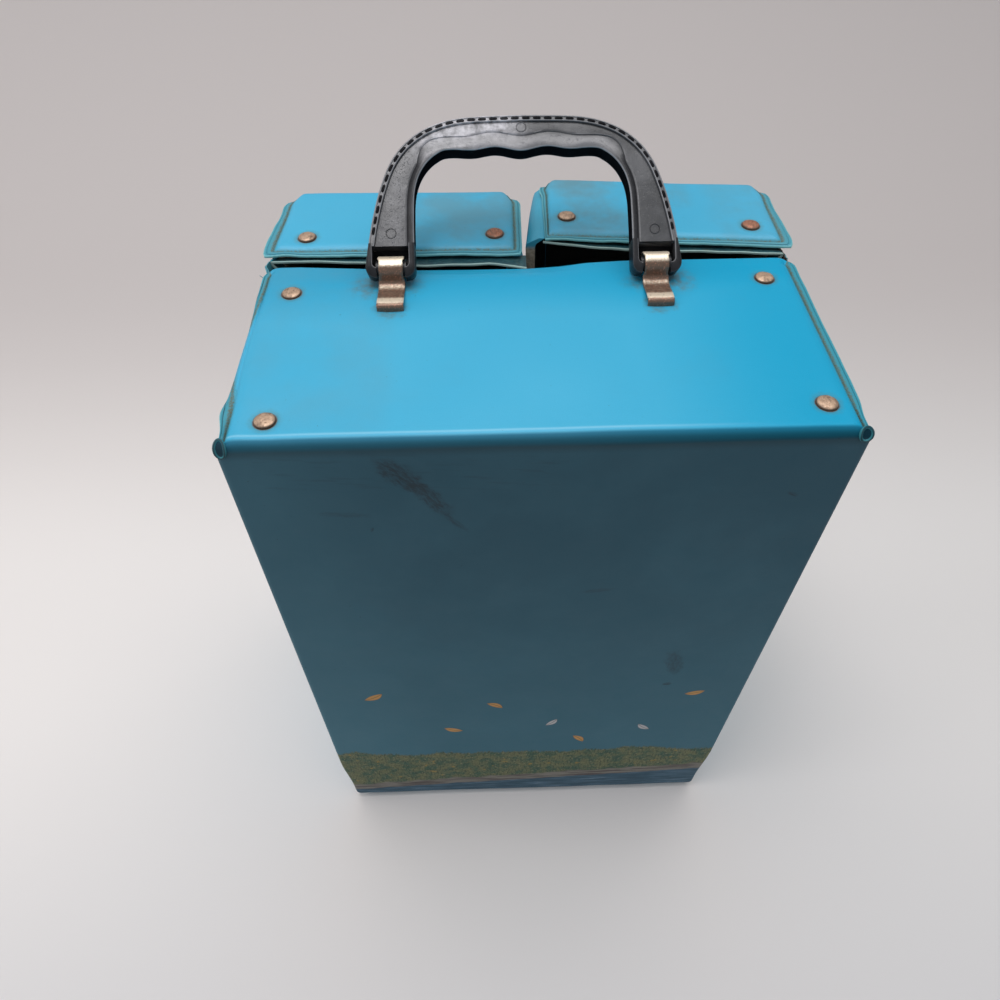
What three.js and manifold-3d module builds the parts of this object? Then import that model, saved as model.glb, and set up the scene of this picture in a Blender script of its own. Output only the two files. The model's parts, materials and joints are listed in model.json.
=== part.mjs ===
// A doll case of vinyl over board: a deep rear body, two shallow doors on vinyl hinges, a carrying handle,
// a swing latch between the doors, and a clothes rail and a chest of two drawers inside.
// Millimetres, +Z up. The printed rear panel faces -Y and the doors open on the +Y side.
// The origin is on the base, at the middle of the closed case's footprint.
import * as THREE from "three";
import { mergeVertices } from "three/addons/utils/BufferGeometryUtils.js";
import Module from "manifold-3d";

const wasm = await Module();
wasm.setup();

// Case
const CASE_WIDTH = 244; // over the welded side flanges
const CASE_HEIGHT = 357;
const BODY_DEPTH = 112; // rear face to the body's open rim
const DOOR_DEPTH = 54; // a door's open rim to its far face
const RIM_GAP = 17; // between the body's rim and a door's rim, bridged by the hinge
const DOOR_SPLIT = 4; // between the two doors' inner flanges
const DOOR_LIFT = 0.5; // the doors' running gap over the floor
const DOOR_CLOSED = -1; // degrees from parallel, opening positive: the doors' inner flanges nearly meet
const LEFT_DOOR_AJAR = DOOR_CLOSED;
const RIGHT_DOOR_AJAR = 5;

// Wrap: board between two skins of vinyl, which are welded together past its edge
const BOARD = 3;
const SIDE_FLANGE = 4;
const RIM_FLANGE = 3;
const FLANGE_THICK = 1.3;
const TOP_FOLD_RADIUS = 4.5;
const BOTTOM_FOLD_RADIUS = 10;
const FLANGE_FOLD_CUT = 4; // how far past a fold the flange is trimmed
const BASE_CORNER_RADIUS = 12; // the flange's corner at the base, seen from the front

// Side walls, covers and linings
const SIDE_BOARD = 2.5;
const TAB_THICK = 1.5;
const TAB_LENGTH = 24;
const TAB_END_GAP = 6; // from a tab's end to the board that faces it
const COVER = 1;
const COVER_INSET = 3; // the cover's outer face, in from the flange's edge
const LINING = 1.2;
const LINING_LIP = 1; // how far the body's lining stops short of its rim
const DOOR_LIP = 7; // how far a door's lining stands out of its rim
const FIT = 0.3;

// Hinge: the side cover runs out to the crease and on to the door
const HINGE_OUT = 0.5; // the crease, out from the flange's edge
const HINGE_BULGE = 11; // length of cover that bends out to the crease
const HINGE_SLIT = 0.3; // from each leaf to the crease's line

// Rivets
const RIVET_HEAD_RADIUS = 4.2;
const RIVET_HEAD_HEIGHT = 1.7;
const RIVET_SHANK_RADIUS = 1.4;
const RIVET_TAIL_RADIUS = 2.7;
const RIVET_TAIL_HEIGHT = 0.8;
const RIVET_SUNK_DEPTH = 1.2; // a base rivet's head is pressed this deep into the board
// Set by hand, so each has its own place: how far in from the case's side, and from the rear face or the body's rim
const BODY_RIVETS = {
  rear_left: [17.7, 12.5],
  rear_right: [14.5, 15],
  front_left: [16.3, 19],
  front_right: [17.5, 14.5],
};
// How far in from the case's side or from the door's inner flange edge, and from the door's rim
const DOOR_RIVETS = {
  left_door: { outer: [17, 9.5], inner: [13.6, 11.5] },
  right_door: { outer: [14.8, 11.5], inner: [16.1, 15] },
};

// Handle
const HANDLE_CENTRE_X = -3.4;
const HANDLE_PIVOT_FROM_REAR = 100.6;
const HANDLE_LEAN = 51; // degrees back from upright
const HANDLE_THICK = 9.6;
const HANDLE_WEB = 6;
const HANDLE_RISE = 65.4; // pivot to the top of the grip
const HANDLE_HALF_WIDTH = 69;
const LEG_WIDTH = 21.4;
const GRIP_DEPTH = 14.9;
const OUTER_RIM = 2.6;
const INNER_RIM = 2.4;
const PIVOT_RISE = 6.3; // the pivot's axis over the panel
const PIVOT_BAR_RADIUS = 3.2;
const WINDOW_TOP = 8.6; // above the pivot's axis
const OUTER_STRUT = 2.8;
const INNER_STRUT = 2.8;
const FINGER_WAVE = 0.9;
const FINGER_PITCH = 23;
const FINGER_SPAN = 84;

// Handle clips
const CLIP_WIDTH = 11.6;
const CLIP_THICK = 1;
const CLIP_SIDE_GAP = 2.2; // to the handle's struts
const CLIP_TO_BAR = 1; // clearance between the clip and the pivot bar
const CLIP_REACH = 21.5; // pivot's axis to the clip's front end
const CLIP_FLAT = 0.6; // the flat stretch's height over the panel
const CLIP_HUMP = 2.4;
const CLIP_TAIL = 5;
const SLOT_CLEARANCE = 0.4;

// Latch
const LATCH_HEIGHT = 205;
const LATCH_PLATE = [20, 34, 1.2];
const LATCH_PLATE_IN = 15; // plate's centre from the door's inner flange edge
const LATCH_ARM_WIDTH = 9;
const LATCH_ARM_THICK = 1.4;
const LATCH_ARM_STANDOFF = 1;
const LATCH_PIN_RADIUS = 1.6;
const LATCH_HEAD_RADIUS = 3.6;
const LATCH_HEAD_HEIGHT = 1.2;
const LATCH_CLEARANCE = 0.8;

// Inside the body
const RAIL_RADIUS = 2.5;
const RAIL_DROP = 48; // from the top of the case
const RAIL_FROM_REAR = 58;
const RAIL_SOCKET_RADIUS = 7;
const RAIL_SOCKET_LENGTH = 7;
const CHEST_WIDTH = 103;
const CHEST_WALL = 2;
const CHEST_SETBACK = 8; // from the body's rim
const DRAWER_COUNT = 2;
const DRAWER_HEIGHT = 45;
const DRAWER_WALL = 1.8;
const DRAWER_CLEARANCE = 0.8;
const KNOB_RADIUS = 5;
const KNOB_LENGTH = 8;

// Doll straps
const STRAP_SPAN = 76;
const STRAP_BOW = 9;
const STRAP_THICK = 1;
const STRAP_TALL = 12;
const STRAP_HEIGHT = 195;
const STRAP_STUD_RADIUS = 3.4;
const STRAP_STUD_HEIGHT = 1.2;

// Worked out from the above
const HALF_WIDTH = CASE_WIDTH / 2;
const REAR_Y = -(BODY_DEPTH + RIM_GAP + DOOR_DEPTH) / 2;
const BODY_RIM_Y = REAR_Y + BODY_DEPTH;
const CREASE_Y = BODY_RIM_Y + RIM_GAP / 2;
const DOOR_RIM_Y = BODY_RIM_Y + RIM_GAP;
const FAR_Y = DOOR_RIM_Y + DOOR_DEPTH;
const BOARD_HALF = HALF_WIDTH - SIDE_FLANGE;
const COVER_OUT_X = HALF_WIDTH - COVER_INSET;
const WALL_OUT_X = COVER_OUT_X - COVER - FIT;
const WALL_IN_X = WALL_OUT_X - SIDE_BOARD;
const CREASE_X = HALF_WIDTH + HINGE_OUT;
const TAB_IN = BOARD + FIT; // depth of a tab's outer face under the panel's outer face
const LINING_IN = TAB_IN + TAB_THICK + FIT;
const CLEAR_IN = LINING_IN + LINING; // depth at which the inside is clear
const INNER_FLANGE_X = DOOR_SPLIT / 2;
const INNER_BOARD_X = INNER_FLANGE_X + SIDE_FLANGE;
const PIVOT_Y = REAR_Y + HANDLE_PIVOT_FROM_REAR;
const PIVOT_Z = CASE_HEIGHT + PIVOT_RISE;
const WINDOW_HALF = CLIP_WIDTH / 2 + CLIP_SIDE_GAP;
const CLIP_OFFSET = HANDLE_HALF_WIDTH - OUTER_STRUT - WINDOW_HALF; // from the handle's centre

const paint = (color, roughness, metalness = 0) => new THREE.MeshStandardMaterial({ color, roughness, metalness });
const VINYL = paint(0x35a3cf, 0.42);
const LINING_PAPER = paint(0xe9e2d2, 0.8);
const HANDLE_PLASTIC = paint(0x2b2d30, 0.38);
const OLD_STEEL = paint(0xa58f78, 0.38, 0.9);
const CARDBOARD = paint(0xd8c4a0, 0.85);
const ELASTIC = paint(0xf1ede4, 0.9);

// Solids
function toSolid(geometry) {
  const bare = geometry.clone();
  bare.deleteAttribute("normal");
  bare.deleteAttribute("uv");
  const merged = mergeVertices(bare, 1e-4);
  const mesh = new wasm.Mesh({
    numProp: 3,
    vertProperties: merged.attributes.position.array,
    triVerts: new Uint32Array(merged.index.array),
  });
  return new wasm.Manifold(mesh);
}

function toGeometry(solid) {
  const { vertProperties, triVerts } = solid.getMesh();
  const geometry = new THREE.BufferGeometry();
  geometry.setAttribute("position", new THREE.BufferAttribute(new Float32Array(vertProperties), 3));
  geometry.setIndex(new THREE.BufferAttribute(new Uint32Array(triVerts), 1));
  return geometry;
}

const join = (first, ...rest) => rest.reduce((sum, s) => sum.add(s), first);
const cut = (first, ...rest) => rest.reduce((sum, s) => sum.subtract(s), first);

const X = new THREE.Vector3(1, 0, 0);
const Y = new THREE.Vector3(0, 1, 0);
const Z = new THREE.Vector3(0, 0, 1);

// An outline's two coordinates become the plane's axes, and it is drawn out from `from` to `to` on the third one.
function extrude(outline, from, to, u, v, w) {
  const shape = outline instanceof THREE.Shape ? outline : new THREE.Shape(outline.map(([a, b]) => new THREE.Vector2(a, b)));
  const geometry = new THREE.ExtrudeGeometry(shape, { depth: Math.abs(to - from), bevelEnabled: false, curveSegments: 6 });
  geometry.translate(0, 0, Math.min(from, to));
  geometry.applyMatrix4(new THREE.Matrix4().makeBasis(u, v, w));
  return toSolid(geometry);
}
const alongX = (outline, from, to) => extrude(outline, from, to, Y, Z, X);
const alongZ = (outline, from, to) => extrude(outline, from, to, X, Y, Z);
// Drawn along -Y, so that the outline's axes stay X and Z.
const alongY = (outline, from, to) => extrude(outline, -from, -to, X, Z, Y.clone().negate());

function box(x0, x1, y0, y1, z0, z1) {
  const geometry = new THREE.BoxGeometry(Math.abs(x1 - x0), Math.abs(y1 - y0), Math.abs(z1 - z0));
  geometry.translate((x0 + x1) / 2, (y0 + y1) / 2, (z0 + z1) / 2);
  return toSolid(geometry);
}

// A solid of revolution: the profile's points are [radius, height], turned about +Z and then about `axis`.
function turned(profile, axis = Z, at = [0, 0, 0], segments = 16) {
  const geometry = new THREE.LatheGeometry(profile.map(([r, h]) => new THREE.Vector2(r, h)), segments);
  geometry.applyQuaternion(new THREE.Quaternion().setFromUnitVectors(Y, axis));
  geometry.translate(...at);
  return toSolid(geometry);
}
const rod = (radius, from, to, axis, at, segments) =>
  turned([[0, from], [radius, from], [radius, to], [0, to]], axis, at, segments);

function named(name, solid, material) {
  const mesh = new THREE.Mesh(toGeometry(solid), material);
  mesh.name = name;
  return mesh;
}

// Wraps: one strip folded into top, upright panel and base. A wrap's line lies in the plane of depth and height, from
// the open rim at `rim` to the upright panel's outer face at `face` and back, `depth` under the outer face.
function wrapLine(rim, face, depth, bottom) {
  const way = Math.sign(face - rim);
  const top = CASE_HEIGHT - depth;
  const base = bottom + depth;
  const side = face - way * depth;
  const bend = (radius, z, start, end) => {
    const points = [];
    const steps = 6;
    for (let i = 0; i <= steps; i++) {
      const a = ((start + ((end - start) * i) / steps) * Math.PI) / 180;
      points.push([side - way * radius + way * radius * Math.cos(a), z + radius * Math.sin(a)]);
    }
    return points;
  };
  const topRadius = Math.max(TOP_FOLD_RADIUS - depth, 1);
  const baseRadius = Math.max(BOTTOM_FOLD_RADIUS - depth, 1);
  return [
    [rim, top],
    ...bend(topRadius, top - topRadius, 90, 0),
    ...bend(baseRadius, base + baseRadius, 0, -90),
    [rim, base],
  ];
}

const wrapProfile = (rim, face, depth, thick, bottom) =>
  [...wrapLine(rim, face, depth, bottom), ...wrapLine(rim, face, depth + thick, bottom).reverse()];

// All that lies inside a wrap, `depth` under its outer face.
const insideWrap = (rim, face, depth, bottom, x0, x1) => alongX(wrapLine(rim, face, depth, bottom), x0, x1);

// A wrap with its board from x0 to x1, and its welded flanges at both sides and along both rims.
function wrap(x0, x1, rim, face, bottom, flangeTurnsTop) {
  const way = Math.sign(face - rim);
  const skinDepth = BOARD - FLANGE_THICK;
  const board = alongX(wrapProfile(rim, face, 0, BOARD, bottom), x0, x1);
  const flangeProfile = wrapProfile(rim - way * RIM_FLANGE, face, skinDepth, FLANGE_THICK, bottom);
  const sheet = alongX(flangeProfile, x0 - SIDE_FLANGE, x1 + SIDE_FLANGE);
  const inner = alongX(flangeProfile, x0 + BOARD, x1 - BOARD);
  const rims = [CASE_HEIGHT - BOARD, bottom + skinDepth].map((z) =>
    box(x0, x1, rim - way * RIM_FLANGE, rim + way, z, z + FLANGE_THICK));
  const trims = [[x0, x0 - SIDE_FLANGE], [x1, x1 + SIDE_FLANGE]].flatMap(([near, edge]) => {
    const out = Math.sign(edge - near);
    const radius = BASE_CORNER_RADIUS;
    const reach = face - way * (BOTTOM_FOLD_RADIUS + FLANGE_FOLD_CUT);
    const round = cut(
      box(edge - out * radius, edge + out, reach, face + way, bottom - 1, bottom + radius),
      rod(radius, Math.min(reach, face) - 2, Math.max(reach, face) + 2, Y, [edge - out * radius, 0, bottom + radius], 48),
    );
    const topCut = box(near, edge + out, face - way * (TOP_FOLD_RADIUS + FLANGE_FOLD_CUT), face + way,
      CASE_HEIGHT - TOP_FOLD_RADIUS - FLANGE_FOLD_CUT, CASE_HEIGHT + 1);
    return flangeTurnsTop ? [round] : [round, topCut];
  });
  return cut(join(board, cut(sheet, inner), ...rims), ...trims);
}

// A rivet from its head's seat downwards; `grip` is the thickness that it holds.
function rivet(grip, headHeight, sunk) {
  const dome = [];
  const steps = 5;
  for (let i = 0; i <= steps; i++) {
    const a = (i / steps) * (Math.PI / 2);
    dome.push([RIVET_HEAD_RADIUS * Math.cos(a), headHeight * (0.25 + 0.75 * Math.sin(a))]);
  }
  const head = sunk ? [[RIVET_HEAD_RADIUS, headHeight], [0, headHeight]] : [...dome.slice(0, -1), [0, headHeight]];
  return [
    [0, -grip - FIT - RIVET_TAIL_HEIGHT],
    [RIVET_TAIL_RADIUS, -grip - FIT - RIVET_TAIL_HEIGHT],
    [RIVET_TAIL_RADIUS, -grip - FIT],
    [RIVET_SHANK_RADIUS, -grip - FIT],
    [RIVET_SHANK_RADIUS, 0],
    [RIVET_HEAD_RADIUS, 0],
    ...head,
  ];
}
const DOWN = Z.clone().negate();
const topRivet = (x, y) => turned(rivet(CLEAR_IN, RIVET_HEAD_HEIGHT, false), Z, [x, y, CASE_HEIGHT]);
const baseRivet = (x, y, base) => {
  const depth = RIVET_SUNK_DEPTH;
  return turned(rivet(CLEAR_IN - depth, depth - FIT, true), DOWN, [x, y, base + depth]);
};
const rivetBore = (x, y) => rod(RIVET_SHANK_RADIUS + FIT, -1, CASE_HEIGHT + 1, Z, [x, y, 0]);
const rivetSeat = (x, y, base) => rod(RIVET_HEAD_RADIUS + FIT, -1, RIVET_SUNK_DEPTH, Z, [x, y, base]);

// A side board with a tab turned in along the top and the base. `out` is its outer face and `way` points inwards.
function sideBoard(out, way, rim, face, bottom) {
  const far = face - Math.sign(face - rim) * (BOARD + TAB_END_GAP);
  const tabs = [bottom + TAB_IN, CASE_HEIGHT - TAB_IN - TAB_THICK].map((z) =>
    box(out, out + way * TAB_LENGTH, rim, far, z, z + TAB_THICK));
  return join(insideWrap(rim, face, TAB_IN, bottom, out, out + way * SIDE_BOARD), ...tabs);
}

// The vinyl side cover from the upright panel at `face` to the crease, where it bends out to meet the other leaf.
function sideCover(side, face, bottom) {
  const way = Math.sign(CREASE_Y - face);
  const y = face + way * TAB_IN;
  const bend = CREASE_Y - way * HINGE_BULGE;
  const end = CREASE_Y - way * HINGE_SLIT;
  const out = CREASE_X - COVER_OUT_X;
  const steps = 6;
  const outer = [];
  for (let i = 0; i <= steps; i++) {
    const t = i / steps;
    outer.push([side * (COVER_OUT_X + out * t * t * (3 - 2 * t)), bend + (end - bend) * t]);
  }
  const inner = outer.map(([x, yy]) => [x - side * COVER, yy]).reverse();
  const outline = [[side * COVER_OUT_X, y], ...outer, ...inner, [side * (COVER_OUT_X - COVER), y]];
  const room = insideWrap(CREASE_Y, face, TAB_IN, bottom, side * (COVER_OUT_X - COVER - 1), side * (CREASE_X + 1));
  return alongZ(outline, bottom, CASE_HEIGHT).intersect(room);
}

function lining(x0, x1, rim, face, bottom) {
  return alongX(wrapProfile(rim, face, LINING_IN, LINING, bottom), x0, x1);
}

// Body
function rivetSpots() {
  return Object.entries(BODY_RIVETS).map(([name, [fromSide, inwards]]) => ({
    name,
    x: (name.endsWith("left") ? -1 : 1) * (HALF_WIDTH - fromSide),
    y: name.startsWith("rear") ? REAR_Y + inwards : BODY_RIM_Y - inwards,
  }));
}

function bodyPieces() {
  const spots = rivetSpots();
  const bores = spots.map(({ x, y }) => rivetBore(x, y));
  const seats = spots.map(({ x, y }) => rivetSeat(x, y, 0));
  const shell = wrap(-BOARD_HALF, BOARD_HALF, BODY_RIM_Y, REAR_Y, 0, true);
  const paper = lining(-WALL_IN_X + FIT, WALL_IN_X - FIT, BODY_RIM_Y - LINING_LIP, REAR_Y, 0);
  const walls = [-1, 1].flatMap((side) => {
    const name = side < 0 ? "left" : "right";
    const board = sideBoard(side * WALL_OUT_X, -side, BODY_RIM_Y, REAR_Y, 0);
    return [
      named(`body_${name}_side_board`, cut(board, ...bores), CARDBOARD),
      named(`body_${name}_side_cover`, sideCover(side, REAR_Y, 0), VINYL),
    ];
  });
  return [
    named("body_wrap", cut(shell, ...bores, ...seats, ...clipSlots()), VINYL),
    named("body_lining", cut(paper, ...bores), LINING_PAPER),
    ...walls,
    ...spots.map(({ x, y, name }) => named(`body_top_rivet_${name}`, topRivet(x, y), OLD_STEEL)),
    ...spots.map(({ x, y, name }) => named(`body_base_rivet_${name}`, baseRivet(x, y, 0), OLD_STEEL)),
  ];
}

// Handle clips: one bent strip each, from a slot in front of the pivot bar, over the bar and into a slot behind it.
function clipLine() {
  const radius = PIVOT_BAR_RADIUS + CLIP_TO_BAR + CLIP_THICK / 2;
  const panel = CASE_HEIGHT;
  const under = panel - BOARD - FIT - CLIP_THICK / 2;
  const flat = panel + CLIP_FLAT + CLIP_THICK / 2;
  const front = PIVOT_Y - CLIP_REACH;
  const path = new THREE.Path();
  path.moveTo(front + CLIP_TAIL, under);
  path.lineTo(front + 0.5, under);
  path.lineTo(front, under + 0.5);
  path.lineTo(front, panel + CLIP_HUMP - 1.4);
  path.quadraticCurveTo(front, panel + CLIP_HUMP, front + 2.2, panel + CLIP_HUMP);
  path.quadraticCurveTo(front + 5, panel + CLIP_HUMP, PIVOT_Y - radius - 5.5, flat);
  path.quadraticCurveTo(PIVOT_Y - radius, flat, PIVOT_Y - radius, flat + 3.2);
  path.lineTo(PIVOT_Y - radius, PIVOT_Z);
  path.absarc(PIVOT_Y, PIVOT_Z, radius, Math.PI, 0, true);
  path.lineTo(PIVOT_Y + radius, under + 0.5);
  path.lineTo(PIVOT_Y + radius - 0.5, under);
  path.lineTo(PIVOT_Y + radius - CLIP_TAIL, under);
  return path.getPoints(5);
}

function ribbon(line, thick) {
  const half = thick / 2;
  const sides = line.map((p, i) => {
    const before = line[Math.max(i - 1, 0)];
    const after = line[Math.min(i + 1, line.length - 1)];
    const along = after.clone().sub(before).normalize();
    return [[p.x - along.y * half, p.y + along.x * half], [p.x + along.y * half, p.y - along.x * half]];
  });
  return [...sides.map((s) => s[0]), ...sides.map((s) => s[1]).reverse()];
}

const clipX = (side) => HANDLE_CENTRE_X + side * CLIP_OFFSET;

function clipSlots() {
  const radius = PIVOT_BAR_RADIUS + CLIP_TO_BAR + CLIP_THICK / 2;
  const reach = CLIP_THICK / 2 + SLOT_CLEARANCE;
  const half = CLIP_WIDTH / 2 + SLOT_CLEARANCE;
  return [-1, 1].flatMap((side) => [PIVOT_Y - CLIP_REACH, PIVOT_Y + radius].map((y) =>
    box(clipX(side) - half, clipX(side) + half, y - reach, y + reach, CASE_HEIGHT - BOARD - 1, CASE_HEIGHT + 1)));
}

function clips() {
  return [-1, 1].map((side) => {
    const x = clipX(side);
    const strip = alongX(ribbon(clipLine(), CLIP_THICK), x - CLIP_WIDTH / 2, x + CLIP_WIDTH / 2);
    return named(`handle_clip_${side < 0 ? "left" : "right"}`, strip, OLD_STEEL);
  });
}

// Handle, drawn upright about its pivot's axis: X across, Y up the handle, Z towards its face.
function handleOuter() {
  const w = HANDLE_HALF_WIDTH;
  const h = HANDLE_RISE;
  return new THREE.SplineCurve([
    [w, 0], [w * 0.975, h * 0.18], [w * 0.95, h * 0.32], [w * 0.904, h * 0.505], [w * 0.836, h * 0.685],
    [w * 0.735, h * 0.823], [w * 0.585, h * 0.927], [w * 0.371, h * 0.986], [0, h],
  ].map(([x, y]) => new THREE.Vector2(x, y)));
}

function handleInner() {
  const w = HANDLE_HALF_WIDTH - LEG_WIDTH;
  const h = HANDLE_RISE - GRIP_DEPTH;
  return new THREE.SplineCurve([
    [w, 0], [w, h * 0.4], [w * 0.983, h * 0.66], [w * 0.91, h * 0.84], [w * 0.78, h * 0.96], [w * 0.6, h], [0, h],
  ].map(([x, y]) => new THREE.Vector2(x, y)));
}

// A half outline moved sideways by `offset`, mirrored into a whole arch from left to right.
function arch(curve, offset, wave) {
  const steps = wave ? 42 : 24;
  const half = [];
  for (let i = 0; i <= steps; i++) {
    const p = curve.getPoint(i / steps);
    const along = curve.getTangent(i / steps);
    const rise = Math.abs(p.x) < FINGER_SPAN / 2 ? wave * waveAt(p.x) : 0;
    half.push([p.x - along.y * offset, p.y + along.x * offset + rise]);
  }
  half[0][1] = 0;
  half[steps][0] = 0;
  const left = half.slice(0, -1).map(([x, y]) => [-x, y]);
  return [...left, ...half.reverse()];
}
const waveAt = (x) => -Math.cos((2 * Math.PI * x) / FINGER_PITCH) * Math.cos((Math.PI * x) / FINGER_SPAN);

function handle() {
  const half = HANDLE_THICK / 2;
  const end = PIVOT_RISE - FIT; // the loops' ends are round about the pivot's axis
  const outer = arch(handleOuter(), 0, 0);
  const inner = arch(handleInner(), 0, FINGER_WAVE);
  const w = HANDLE_HALF_WIDTH;
  const footIn = CLIP_OFFSET - WINDOW_HALF - INNER_STRUT;
  const foot = (side) => [[side * w, -end / 2], [side * (w - 3), -end], [side * (footIn + 3), -end], [side * footIn, -end / 2]];
  const outline = [...outer, ...foot(1), ...inner.slice().reverse(), ...foot(-1).reverse()];
  const blank = alongZ(outline, -half, half);
  const rounding = join(rod(end, -w - 1, w + 1, X, [0, 0, 0], 32), box(-w - 1, w + 1, 0, HANDLE_RISE + 1, -half, half));
  const pocketOuter = arch(handleOuter(), OUTER_RIM, 0);
  const pocketInner = arch(handleInner(), -INNER_RIM, FINGER_WAVE);
  const pocket = [...pocketOuter, ...pocketInner.slice().reverse()];
  const below = box(-w - 1, w + 1, -half, WINDOW_TOP, -half - 1, half + 1);
  const recess = [1, -1].map((face) => cut(alongZ(pocket, (face * HANDLE_WEB) / 2, face * (half + 1)), below));
  const windows = [-1, 1].map((side) => box(side * (CLIP_OFFSET - WINDOW_HALF), side * (CLIP_OFFSET + WINDOW_HALF),
    -end - 1, WINDOW_TOP, -half - 1, half + 1));
  const bars = [-1, 1].map((side) =>
    rod(PIVOT_BAR_RADIUS, footIn + 1, w - 1, X.clone().multiplyScalar(side), [0, 0, 0], 16));
  const mesh = named("handle", join(cut(blank.intersect(rounding), ...recess, ...windows), ...bars), HANDLE_PLASTIC);
  mesh.position.set(HANDLE_CENTRE_X, PIVOT_Y, PIVOT_Z);
  mesh.rotation.x = Math.PI / 2 - THREE.MathUtils.degToRad(HANDLE_LEAN);
  return mesh;
}

// Inside the body
function railPieces() {
  const z = CASE_HEIGHT - RAIL_DROP;
  const y = REAR_Y + RAIL_FROM_REAR;
  const wall = WALL_IN_X - FIT;
  const reach = wall - FIT - 1;
  const sockets = [-1, 1].map((side) => {
    const out = X.clone().multiplyScalar(side);
    const cup = rod(RAIL_SOCKET_RADIUS, wall - RAIL_SOCKET_LENGTH, wall, out, [0, y, z], 20);
    const hole = rod(RAIL_RADIUS + FIT, wall - RAIL_SOCKET_LENGTH - 1, reach + FIT, out, [0, y, z]);
    return named(`rail_socket_${side < 0 ? "left" : "right"}`, cut(cup, hole), HANDLE_PLASTIC);
  });
  return [named("clothes_rail", rod(RAIL_RADIUS, -reach, reach, X, [0, y, z]), OLD_STEEL), ...sockets];
}

const CHEST_X = -(WALL_IN_X - FIT);
const CHEST_Y = REAR_Y + CLEAR_IN + FIT;
const CHEST_FRONT_Y = BODY_RIM_Y - CHEST_SETBACK;
const CHEST_Z = CLEAR_IN + FIT;
const BAY_HEIGHT = DRAWER_HEIGHT + DRAWER_CLEARANCE;
const bayZ = (i) => CHEST_Z + CHEST_WALL + i * (BAY_HEIGHT + CHEST_WALL);

function chest() {
  const x1 = CHEST_X + CHEST_WIDTH;
  const back = CHEST_Y + Math.max(0, BOTTOM_FOLD_RADIUS - CLEAR_IN);
  const carcass = box(CHEST_X, x1, back, CHEST_FRONT_Y, CHEST_Z, bayZ(DRAWER_COUNT));
  const bays = Array.from({ length: DRAWER_COUNT }, (_, i) =>
    box(CHEST_X + CHEST_WALL, x1 - CHEST_WALL, back + CHEST_WALL, CHEST_FRONT_Y + 1, bayZ(i), bayZ(i) + BAY_HEIGHT));
  // Its floor is hollowed over the base rivets' tails.
  const hollows = rivetSpots().map(({ x, y }) =>
    rod(RIVET_TAIL_RADIUS + 2 * FIT, CHEST_Z - 1, CHEST_Z + RIVET_TAIL_HEIGHT + FIT, Z, [x, y, 0]));
  return named("drawer_chest", cut(carcass, ...bays, ...hollows), CARDBOARD);
}

function drawers() {
  const gap = DRAWER_CLEARANCE;
  const x0 = CHEST_X + CHEST_WALL + gap;
  const x1 = CHEST_X + CHEST_WIDTH - CHEST_WALL - gap;
  const y0 = CHEST_Y + Math.max(0, BOTTOM_FOLD_RADIUS - CLEAR_IN) + CHEST_WALL + gap;
  const middle = (x0 + x1) / 2;
  return Array.from({ length: DRAWER_COUNT }, (_, i) => {
    const name = ["lower_drawer", "upper_drawer"][i] ?? `drawer_${i + 1}`;
    const z0 = bayZ(i) + FIT;
    const z1 = z0 + DRAWER_HEIGHT - FIT;
    const knobZ = (z0 + z1) / 2;
    const wall = DRAWER_WALL;
    const tray = cut(
      box(x0, x1, y0, CHEST_FRONT_Y, z0, z1),
      box(x0 + wall, x1 - wall, y0 + wall, CHEST_FRONT_Y - wall, z0 + wall, z1 + 1),
      rod(RIVET_SHANK_RADIUS + FIT, -wall - 1, 1, Y, [middle, CHEST_FRONT_Y, knobZ]),
    );
    const knob = turned([
      [0, -wall - 1.2], [RIVET_TAIL_RADIUS, -wall - 1.2], [RIVET_TAIL_RADIUS, -wall - FIT], [RIVET_SHANK_RADIUS, -wall - FIT],
      [RIVET_SHANK_RADIUS, FIT], [KNOB_RADIUS * 0.7, FIT], [KNOB_RADIUS * 0.5, KNOB_LENGTH * 0.4],
      [KNOB_RADIUS, KNOB_LENGTH * 0.65], [KNOB_RADIUS * 0.8, KNOB_LENGTH * 0.95], [0, KNOB_LENGTH],
    ], Y, [middle, CHEST_FRONT_Y, knobZ], 20);
    return [named(name, tray, CARDBOARD), named(`${name}_knob`, knob, OLD_STEEL)];
  }).flat();
}

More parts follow.
